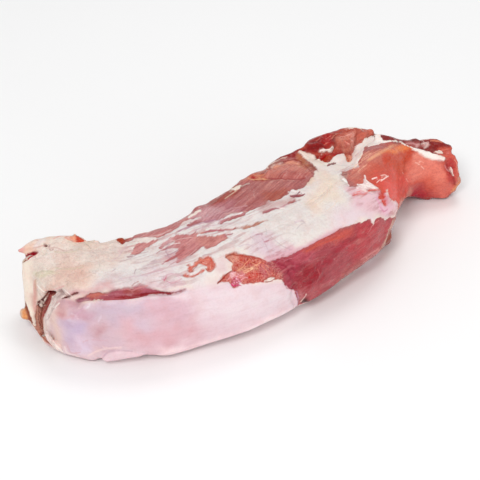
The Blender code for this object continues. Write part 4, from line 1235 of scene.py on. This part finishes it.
# White areas there: x in mm and how fast they grow from there towards the blunt end, z in mm and how
# fast they grow above it, and how far the broad and the ragged noise move their edge.
HIDDEN_AREAS = (
    (-58, 0.5, 22, 0.5, 34, 12),  # fat cap
    (-112, 1.2, 12, 0.4, 20, 10),  # blunt end
    (30, 0.10, 5, -2.0, 30, 10),  # underside
)

# Threads and patches of film there, in pixels: their level, how steeply the noise moves it, and how
# ragged they are. Then how far the threads sink where the broad noise is low, and the share of the
# finest noise in what is ragged.
HIDDEN_THREADS = (1.2, 42, 6)
HIDDEN_FILM_PATCHES = (-8, 60, 10)
HIDDEN_THREAD_GAPS = 9
HIDDEN_FRAYING = 0.35

# The dark seams between bundles of muscle there: their width in the noise, the metres along the piece
# over which they begin, and how much they darken the meat.
SEAM_WIDTH = 0.035
SEAM_START = (0.095, 0.120)
SEAM_SHADE = 0.45

# Between which values of its noise each of these comes in or goes out, the heights in millimetres
# between which cream turns into pink, and the pixels over which solid fat turns into sheer film.
THREAD_GAPS_IN = (0.05, -0.15)
MAUVE_OUT = (-0.25, 0.25)
RED_IN = (0.1, 0.4)
SHEEN_IN = (-0.2, 0.3)
PINK_IN = (16, 2)
SHEER_IN = (0.0, 2.0)

# How much of the film's own colour shows at least, how thin the white layer is where it is solid fat,
# and how much thinner where it is film.
LEAST_FILM = 0.55
FAT_THINNESS = 0.1
FILM_THINNESS = 0.75


def hidden_seams(grain):
    """How near each point is to a seam between bundles of muscle, from 0 to 1."""
    seam = smoothstep(SEAM_WIDTH, 0.0, np.abs(ripple(grain, "hidden seams")))
    return seam * smoothstep(*SEAM_START, grain[:, 0])


def hidden_rules(points, grain):
    """White edge, colours and thinness where the reference view doesn't reach."""
    x, z = points[:, 0] / MM, points[:, 2] / MM
    broad = ripple(grain, "hidden areas")
    ragged = ripple(grain, "hidden ragged") + HIDDEN_FRAYING * ripple(grain, "hidden frayed")
    solid = np.max([
        (x_end - x) * back + (z - z_start) * up + broad * sway + ragged * tatter
        for x_end, back, z_start, up, sway, tatter in HIDDEN_AREAS
    ], axis=0)
    level, steep, tatter = HIDDEN_THREADS
    threads = level - np.abs(ripple(grain, "hidden threads")) * steep + ragged * tatter
    threads -= smoothstep(*THREAD_GAPS_IN, broad) * HIDDEN_THREAD_GAPS
    level, steep, tatter = HIDDEN_FILM_PATCHES
    film = np.maximum(threads, ripple(grain, "hidden film") * steep + level + ragged * tatter)
    edge = np.clip(np.maximum(solid, film), -REACH, REACH)

    share = smoothstep(*MAUVE_OUT, ripple(points, "hidden mauve"))[:, None]
    meat = HIDDEN_MEAT * share + HIDDEN_MAUVE * (1 - share)
    deep = smoothstep(*RED_IN, ripple(grain, "hidden red"))[:, None]
    meat = meat * (1 - deep) + HIDDEN_RED * deep
    meat = meat * (1 - SEAM_SHADE * hidden_seams(grain))[:, None]

    low = smoothstep(*PINK_IN, z)[:, None]
    white = HIDDEN_CREAM * (1 - low) + HIDDEN_PINK * low
    sheer = smoothstep(*SHEER_IN, film - solid)
    sheen = LEAST_FILM + (1 - LEAST_FILM) * smoothstep(*SHEEN_IN, ripple(grain, "hidden sheen"))[:, None]
    skin = HIDDEN_FILM * sheen + meat * (1 - sheen)
    white = white * (1 - sheer)[:, None] + skin * sheer[:, None]
    return edge, meat, white, FAT_THINNESS + FILM_THINNESS * sheer


ATTRIBUTE_FIELDS = {"FLOAT": "value", "FLOAT_VECTOR": "vector", "FLOAT_COLOR": "color"}


def add_attribute(mesh, name, values, kind="FLOAT"):
    """Stores a number, a vector or a colour for every vertex."""
    if kind == "FLOAT_COLOR":
        values = np.column_stack([values, np.ones(len(values))])
    attribute = mesh.attributes.new(name, kind, "POINT")
    attribute.data.foreach_set(ATTRIBUTE_FIELDS[kind], values.astype(np.float32).ravel())


def vertex_vectors(mesh, name):
    """The mesh's vertex places or normals as rows."""
    values = np.zeros(len(mesh.vertices) * 3)
    mesh.vertices.foreach_get(name, values)
    return values.reshape(-1, 3)


# Heights and depths of the relief in millimetres.
WHITE_THICKNESS = 0.7
LUMP_HEIGHT = 1.6
LUMP_SINK = 0.2
SMALL_LUMP_HEIGHT = 0.5
FIBRE_HEIGHTS = (("fibres", 0.32), ("fine fibres", 0.16))
STRAND_HEIGHT = 0.22
FOLD_HEIGHT = 0.34
SWELL_HEIGHT = 0.8
GRAIN_HEIGHT = 0.18
SEAM_DEPTH = 1.2
CLEAR_OF_FLOOR = 3.0

# How sharply strands and folds stand up, how lumpy and crumpled the hidden sides are, how much lower
# the white layer is where it frays, and all relief at the rim. The last two are half the pixels over
# which the white layer's edge rises, and how many times as many more it takes where it frays.
RIDGE_SHARPNESS = 2.2
HIDDEN_LUMPS = 0.5
FRAYED_THINNING = 0.6
RIM_THINNING = 0.5
WHITE_SLOPE = 0.9
FRAYED_SLOPE = 2


def ridges(places, name):
    """Narrow ridges where the noise crosses zero, up to a height of one."""
    return 1 - RIDGE_SHARPNESS * np.abs(ripple(places, name))


def relief(points, grain, places, facing, seen, edge, frayed, crumpled):
    """How far every point of the skin stands out, in metres."""
    white = smoothstep(-WHITE_SLOPE, WHITE_SLOPE, edge / (1 + FRAYED_SLOPE * frayed))
    bare = 1 - white
    lumpy = zone_height(places, LUMPY_ZONES) * seen + HIDDEN_LUMPS * (1 - seen)
    lift = WHITE_THICKNESS * MM * white * (1 - FRAYED_THINNING * frayed)
    lift += lumpy * MM * bare * (ripple(points, "lumps") * LUMP_HEIGHT - LUMP_SINK)
    lift += lumpy * MM * bare * ripple(points, "small lumps") * SMALL_LUMP_HEIGHT
    for name, height in FIBRE_HEIGHTS:
        lift += height * MM * bare * ripple(fibre_flow(grain), name)
    for height, shape in (
        (STRAND_HEIGHT, ridges(grain, "strands")),
        (FOLD_HEIGHT, ridges(points, "folds")),
        (SWELL_HEIGHT, ripple(points, "swells")),
        (GRAIN_HEIGHT, ripple(points, "grains")),
    ):
        lift += height * MM * white * crumpled * shape
    lift += zone_height(places, SWOLLEN_ZONES) * MM * seen
    lift -= SEAM_DEPTH * MM * hidden_seams(grain) * bare * (1 - seen)
    for (depth, half_width), line in CREASES:
        lift -= depth * MM * bell(path_distance(places, rounded(line, closed=False)), half_width) * seen
    lift *= 1 - RIM_THINNING * bell(facing, RIM_WIDTH)
    return lift * smoothstep(0, CLEAR_OF_FLOOR * MM, points[:, 2])


# Where the photograph's outlines count: how far the surface may face away from the view at the outer
# edge, how much further inside it, the change of facing that they fade in over, and the distances
# from the outer edge in pixels between which the limit changes.
FACING_LIMIT = 0.02
FACING_INSIDE = 0.30
FACING_CHANGE = 0.12
RIM_BAND = (3, 10)

# How far the edges of soft zones wander, and how ragged the edge of the white layer is, in pixels.
WIDE_SWAY = 7
FINE_SWAY = 3
RAGGED_EDGE = 0.9
CRUMBLY_EDGE = 0.7

# The lines come in as the surface turns towards the view between these, and where it faces the view
# less than the last one, distances from the edge of the white layer are stretched no further.
LINES_FADE = (0.14, 0.4)
LEAST_FACING = 0.3

# How many pixels the edge of the white layer fades over, how much further it does on the hidden sides
# and on their film, and how frayed it is on those two.
FADING = 1.4
HIDDEN_FADING, FILM_FADING = 0.5, 3
HIDDEN_FRAY, FILM_FRAY = 0.4, 0.6


def make_skin():
    """The visible piece, with its relief and the attributes that its material reads."""
    body = fine_skin(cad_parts["tenderloin"])
    mesh = body.data
    points, normals = vertex_vectors(mesh, "co"), vertex_vectors(mesh, "normal")
    places, to_eye = photo_place(points)
    facing = (normals * to_eye).sum(1)
    deep = np.maximum(smoothstep(*RIM_BAND, inside(places, OUTLINE)), zone_height(places, DEEP_ZONES))
    limit = -FACING_LIMIT - FACING_INSIDE * deep
    seen = smoothstep(limit, limit + FACING_CHANGE, facing)
    hidden = 1 - seen
    grain = grain_places(points)
    wander = np.stack([
        WIDE_SWAY * ripple(points, "wide sway " + axis) + FINE_SWAY * ripple(points, "fine sway " + axis)
        for axis in "12"
    ], 1)
    ragged = RAGGED_EDGE * ripple(grain, "ragged edge") + CRUMBLY_EDGE * ripple(points, "crumbly edge")

    hidden_edge, hidden_meat, hidden_white, sheer = hidden_rules(points, grain)
    shown_edge = (white_edge(places) + ragged) / np.clip(facing, LEAST_FACING, 1.0)
    edge = shown_edge * seen + hidden_edge * hidden
    shown = seen[:, None]
    meat = paint(places, wander, MEAT, MEAT_ZONES) * shown + hidden_meat * (1 - shown)
    white = paint(places, wander, WHITE, WHITE_ZONES) * shown + hidden_white * (1 - shown)
    offset, away, half, tint = nearest_line(places, LINES)

    frayed = zone_height(places, FRAYED_ZONES) * seen + (HIDDEN_FRAY + FILM_FRAY * sheer) * hidden
    crumpled = zone_height(places, CRUMPLED_ZONES) * seen + HIDDEN_LUMPS * hidden
    fading = FADING + zone_height(places, FADING_ZONES) * seen
    fading += (HIDDEN_FADING + FILM_FADING * sheer) * hidden
    lift = relief(points, grain, places, facing, seen, edge, frayed, crumpled)
    set_points(mesh, points + normals * lift[:, None])
    add_attribute(mesh, "white_edge", edge)
    add_attribute(mesh, "thinness", zone_height(places, THIN_ZONES) * seen + sheer * hidden)
    add_attribute(mesh, "stringy", zone_height(places, STRINGY_ZONES) * seen + hidden)
    add_attribute(mesh, "tangle", zone_height(places, TANGLED_ZONES) * seen)
    add_attribute(mesh, "crumple", crumpled)
    add_attribute(mesh, "line_offset", offset)
    add_attribute(mesh, "line_away", away)
    add_attribute(mesh, "line_half", half)
    add_attribute(mesh, "grain", grain, "FLOAT_VECTOR")
    add_attribute(mesh, "flow", fibre_flow(grain), "FLOAT_VECTOR")
    add_attribute(mesh, "frayed", frayed)
    add_attribute(mesh, "fading", fading)
    add_attribute(mesh, "meat_colour", meat, "FLOAT_COLOR")
    add_attribute(mesh, "white_colour", white, "FLOAT_COLOR")
    add_attribute(mesh, "line_colour", tint[:, :3], "FLOAT_COLOR")
    add_attribute(mesh, "line_strength", tint[:, 3] * smoothstep(*LINES_FADE, facing))
    mesh.update()
    thin_out(body, SKIN_TRIANGLES)
    body.data.shade_smooth()
    return body


# ---------------------------------------------------------------------------------------------
# Materials
# ---------------------------------------------------------------------------------------------

# Colours of pale threads in the meat.
BUNDLE_COLOUR = (0.74, 0.36, 0.32, 1)
THREAD_COLOUR = (0.82, 0.54, 0.48, 1)
TORN_COLOUR = (0.82, 0.48, 0.37, 1)

# What the patterns multiply the meat's colour by.
FIBRE_TONE = (0.74, 0.58, 0.62)
SPECK_TONE = (0.80, 0.68, 0.70)
BLOTCH_TONE = (0.80, 0.62, 0.62)
TORN_TONE = (0.70, 0.46, 0.44)

# What the patterns multiply the white layer's colour by.
BLUSH_TONE = (0.95, 0.87, 0.85)
COOL_TONE = (0.97, 1.0, 0.96)
STREAK_TONE = (0.88, 0.82, 0.85)
WRINKLE_TONE = (0.78, 0.70, 0.70)
VEIN_TONE = (0.79, 0.69, 0.73)
GRAINY_TONE = (0.90, 0.87, 0.86)
DAPPLE_TONE = (0.90, 0.84, 0.82)

# The uniform values of the wet surface, and how strong and how high in metres its fine bumps are.
PORK_VALUES = {
    "Subsurface Weight": 0.12,
    "Subsurface Radius": (1.0, 0.45, 0.32),
    "Subsurface Scale": 0.002,
    "Specular IOR Level": 0.25,
}
BUMP_STRENGTH = 0.5
BUMP_HEIGHT = 0.0006

FLOOR_COLOURS = ((0.92, 0.92, 0.92, 1), (0.95, 0.95, 0.95, 1))
FLOOR_ROUGHNESS = 0.7


class Shader:
    """Short ways to add nodes to a material."""

    def __init__(self, name):
        self.material = bpy.data.materials.new(name)
        self.material.use_nodes = True
        self.tree = self.material.node_tree
        self.surface = self.tree.nodes["Principled BSDF"]

    def put(self, value, socket):
        """Links an output to the socket, or gives the socket a fixed value."""
        if isinstance(value, bpy.types.NodeSocket):
            self.tree.links.new(value, socket)
        else:
            socket.default_value = value

    def places(self):
        """The plain places of the surface."""
        return self.tree.nodes.new("ShaderNodeTexCoord").outputs["Object"]

    def attribute(self, name, output="Fac"):
        """What the mesh stores under the name."""
        made = self.tree.nodes.new("ShaderNodeAttribute")
        made.attribute_name = name
        return made.outputs[output]

    def maths(self, operation, one, two=0.5, clamp=False):
        """One operation on one or two numbers."""
        made = self.tree.nodes.new("ShaderNodeMath")
        made.operation, made.use_clamp = operation, clamp
        self.put(one, made.inputs[0])
        self.put(two, made.inputs[1])
        return made.outputs[0]

    def times(self, *factors):
        """The product of two numbers or more."""
        product, *others = factors
        for factor in others:
            product = self.maths("MULTIPLY", product, factor)
        return product

    def minus(self, one, two):
        """The difference of two numbers."""
        return self.maths("SUBTRACT", one, two)

    def sum_of(self, *parts):
        """The sum of each number multiplied by its weight."""
        total, *others = [self.times(*part) for part in parts]
        for other in others:
            total = self.maths("ADD", total, other)
        return total

    def stretched(self, vector, factors):
        """The vector with its parts multiplied by the factors."""
        made = self.tree.nodes.new("ShaderNodeVectorMath")
        made.operation = "MULTIPLY"
        self.put(vector, made.inputs[0])
        made.inputs[1].default_value = factors
        return made.outputs[0]

    def clouds(self, vector, scale=1.0, detail=3.0, roughness=0.55, distortion=0.0):
        """Noise from 0 to 1."""
        made = self.tree.nodes.new("ShaderNodeTexNoise")
        self.put(vector, made.inputs["Vector"])
        made.inputs["Scale"].default_value = scale
        made.inputs["Detail"].default_value = detail
        made.inputs["Roughness"].default_value = roughness
        made.inputs["Distortion"].default_value = distortion
        return made.outputs["Fac"]

    def between(self, value, low, high, start=0.0, end=1.0):
        """The value's smooth change from start to end as it goes from low to high."""
        made = self.tree.nodes.new("ShaderNodeMapRange")
        made.interpolation_type = "SMOOTHSTEP"
        self.put(value, made.inputs["Value"])
        for name, number in zip(("From Min", "From Max", "To Min", "To Max"), (low, high, start, end)):
            made.inputs[name].default_value = number
        return made.outputs["Result"]

    def ridge(self, value, half):
        """One where the noise crosses its middle, falling to zero this far either side."""
        return self.between(self.maths("ABSOLUTE", self.minus(value, 0.5)), 0.0, half, 1.0, 0.0)

    def mixed(self, share, one, two, blend="MIX"):
        """A colour between one and two."""
        made = self.tree.nodes.new("ShaderNodeMix")
        made.data_type, made.blend_type = "RGBA", blend
        self.put(share, made.inputs[0])
        self.put(one, made.inputs[6])
        self.put(two, made.inputs[7])
        return made.outputs[2]

    def toned(self, base, *tones):
        """The base colour multiplied by each tone's factors, as far as its share says."""
        for share, factors in tones:
            base = self.mixed(share, base, (*factors, 1), "MULTIPLY")
        return base

    def blended(self, share, one, two):
        """A number between one and two."""
        made = self.tree.nodes.new("ShaderNodeMix")
        self.put(share, made.inputs[0])
        self.put(one, made.inputs[2])
        self.put(two, made.inputs[3])
        return made.outputs[0]


def raw_pork():
    """Wet meat with fibres and marbling under ragged, streaky white fat and silverskin."""
    s = Shader("raw_pork")
    grain, flow = s.attribute("grain", "Vector"), s.attribute("flow", "Vector")
    where = s.places()
    thin, crumple = s.attribute("thinness"), s.attribute("crumple")
    stringy, tangle = s.attribute("stringy"), s.attribute("tangle")

    fibre = s.clouds(s.stretched(flow, (55, 1000, 1000)), detail=4.0, roughness=0.62)
    bundle = s.clouds(s.stretched(flow, (28, 260, 260)), distortion=0.4)
    streak = s.clouds(s.stretched(grain, (45, 400, 400)), roughness=0.6, distortion=0.5)
    thread = s.clouds(s.stretched(grain, (38, 360, 360)), detail=2.0, roughness=0.5, distortion=0.8)
    strand = s.clouds(s.stretched(flow, (38, 420, 420)), detail=2.0, roughness=0.5, distortion=0.6)
    speck = s.clouds(where, scale=900.0, detail=2.0)
    mottle = s.clouds(where, scale=130.0, detail=4.0, roughness=0.6)
    crackle = s.clouds(where, scale=210.0, roughness=0.6, distortion=1.2)
    torn = s.clouds(where, scale=1050.0, detail=2.0, roughness=0.6, distortion=1.0)

    meat = s.toned(
        s.attribute("meat_colour", "Color"),
        (s.times(s.between(fibre, 0.60, 0.34, end=0.8), s.blended(stringy, 0.42, 1.15)), FIBRE_TONE),
        (s.between(speck, 0.46, 0.62, end=0.5), SPECK_TONE),
        (s.times(s.between(mottle, 0.52, 0.72), s.blended(stringy, 0.20, 0.60)), BLOTCH_TONE),
    )
    meat = s.mixed(s.times(s.between(bundle, 0.54, 0.74, end=0.24), stringy), meat, BUNDLE_COLOUR)
    threads = s.times(s.ridge(strand, 0.014), s.between(bundle, 0.40, 0.60, end=0.36))
    meat = s.mixed(s.times(threads, stringy), meat, THREAD_COLOUR)
    torn_fibres = s.times(s.ridge(torn, 0.06), s.times(tangle, tangle))
    meat = s.mixed(s.times(torn_fibres, 0.6), meat, TORN_COLOUR)
    meat = s.toned(meat, (s.times(s.between(torn, 0.53, 0.66), tangle), TORN_TONE))

    wrinkles = s.times(s.ridge(crackle, 0.022), crumple)
    veins = s.times(s.ridge(thread, 0.012), s.between(streak, 0.40, 0.56))
    white = s.toned(
        s.attribute("white_colour", "Color"),
        (s.between(mottle, 0.44, 0.68, end=0.7), BLUSH_TONE),
        (s.between(mottle, 0.52, 0.32, end=0.5), COOL_TONE),
        (s.times(s.between(streak, 0.47, 0.62), s.blended(thin, 0.25, 1.0)), STREAK_TONE),
        (s.times(wrinkles, 0.7), WRINKLE_TONE),
        (s.times(veins, s.blended(thin, 0.15, 0.9)), VEIN_TONE),
        (s.times(s.between(speck, 0.46, 0.66), s.blended(crumple, 0.3, 0.8)), GRAINY_TONE),
        (s.times(s.between(crackle, 0.48, 0.68), crumple, 0.7), DAPPLE_TONE),
    )

    fray = s.sum_of((s.minus(fibre, 0.5), s.blended(s.attribute("frayed"), 2.4, 10.0)),
                    (s.minus(speck, 0.5), 1.6))
    border = s.maths("DIVIDE", s.maths("ADD", s.attribute("white_edge"), fray), s.attribute("fading"))
    gaps = s.times(s.between(streak, 0.48, 0.62), thin)
    cover = s.times(s.between(border, -0.5, 0.5), s.maths("SUBTRACT", 1.0, gaps, clamp=True))
    look = s.mixed(cover, meat, white)

    half = s.attribute("line_half")
    aside = s.maths("DIVIDE", s.maths("ABSOLUTE", s.attribute("line_offset")), half)
    beyond = s.minus(s.attribute("line_away"), half)
    on_line = s.times(
        s.between(aside, 0.3, 1.1, 1.0, 0.0),
        s.between(beyond, 0.4, 1.4, 1.0, 0.0),
        s.attribute("line_strength"),
        s.between(speck, 0.30, 0.50, 0.55, 1.0),
    )
    look = s.mixed(on_line, look, s.attribute("line_colour", "Color"))
    s.put(look, s.surface.inputs["Base Color"])

    wet_meat = s.between(mottle, 0.35, 0.65, 0.16, 0.36)
    wet_white = s.between(mottle, 0.3, 0.7, 0.38, 0.56)
    s.put(s.blended(cover, wet_meat, wet_white), s.surface.inputs["Roughness"])
    for name, value in PORK_VALUES.items():
        s.surface.inputs[name].default_value = value

    height = s.sum_of((fibre, 0.7), (mottle, 0.8), (cover, 0.7), (streak, 0.5), (crackle, crumple, 2.0))
    bump = s.tree.nodes.new("ShaderNodeBump")
    bump.inputs["Strength"].default_value = BUMP_STRENGTH
    bump.inputs["Distance"].default_value = BUMP_HEIGHT
    s.put(s.minus(height, s.times(wrinkles, 0.3)), bump.inputs["Height"])
    s.put(bump.outputs["Normal"], s.surface.inputs["Normal"])
    return s.material


def pale_floor():
    """A plain, nearly white floor."""
    s = Shader("pale_floor")
    tone = s.clouds(s.places(), scale=3.0, detail=2.0)
    s.put(s.mixed(tone, *FLOOR_COLOURS), s.surface.inputs["Base Color"])
    s.surface.inputs["Roughness"].default_value = FLOOR_ROUGHNESS
    return s.material


# ---------------------------------------------------------------------------------------------
# Floor, light and camera
# ---------------------------------------------------------------------------------------------

FLOOR_SIZE = 4.0
FLOOR_DROP = 0.0002

# Soft round lights: place and width in metres, and watts.
LIGHTS = {
    "key": ((-0.7, -0.7, 1.0), 0.4, 7.0),
    "front": ((0.5, -1.2, 0.45), 0.8, 3.5),
    "top": ((0.4, 0.4, 1.2), 0.6, 3.5),
}
ROOM_COLOUR = (1.0, 1.0, 1.0, 1)
ROOM_LIGHT = 0.6


def make_floor():
    """The stage under the piece, a hair below it."""
    mesh = bpy.data.meshes.new("floor")
    half = FLOOR_SIZE / 2
    corners = [(x, y, -FLOOR_DROP) for x, y in ((-half, -half), (half, -half), (half, half), (-half, half))]
    mesh.from_pydata(corners, [], [(0, 1, 2, 3)])
    mesh.materials.append(pale_floor())
    floor = bpy.data.objects.new("floor", mesh)
    bpy.context.scene.collection.objects.link(floor)


def aim(thing, place, at):
    """Puts a light or camera at a place, pointing at another."""
    turn = (Vector(at) - Vector(place)).to_track_quat("-Z", "Y").to_matrix().to_4x4()
    thing.matrix_world = Matrix.Translation(Vector(place)) @ turn


def make_light():
    """The lamps and the pale room around them."""
    for name, (place, size, power) in LIGHTS.items():
        data = bpy.data.lights.new(name, "AREA")
        data.shape, data.size, data.energy = "DISK", size, power
        light = bpy.data.objects.new(name, data)
        bpy.context.scene.collection.objects.link(light)
        aim(light, place, TARGET)
    world = bpy.data.worlds.new("studio")
    bpy.context.scene.world = world
    world.use_nodes = True
    room = world.node_tree.nodes["Background"]
    room.inputs["Color"].default_value = ROOM_COLOUR
    room.inputs["Strength"].default_value = ROOM_LIGHT
    bpy.context.scene.view_settings.view_transform = "Standard"


def make_camera():
    """The camera at the reference view."""
    data = bpy.data.cameras.new("camera")
    data.lens, data.sensor_width = LENS, SENSOR
    camera = bpy.data.objects.new("camera", data)
    bpy.context.scene.collection.objects.link(camera)
    aim(camera, view_eye(), TARGET)
    bpy.context.scene.camera = camera


skin = make_skin()
skin.data.materials.append(raw_pork())
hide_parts("tenderloin")
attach(skin, "root")

make_floor()
make_light()
make_camera()
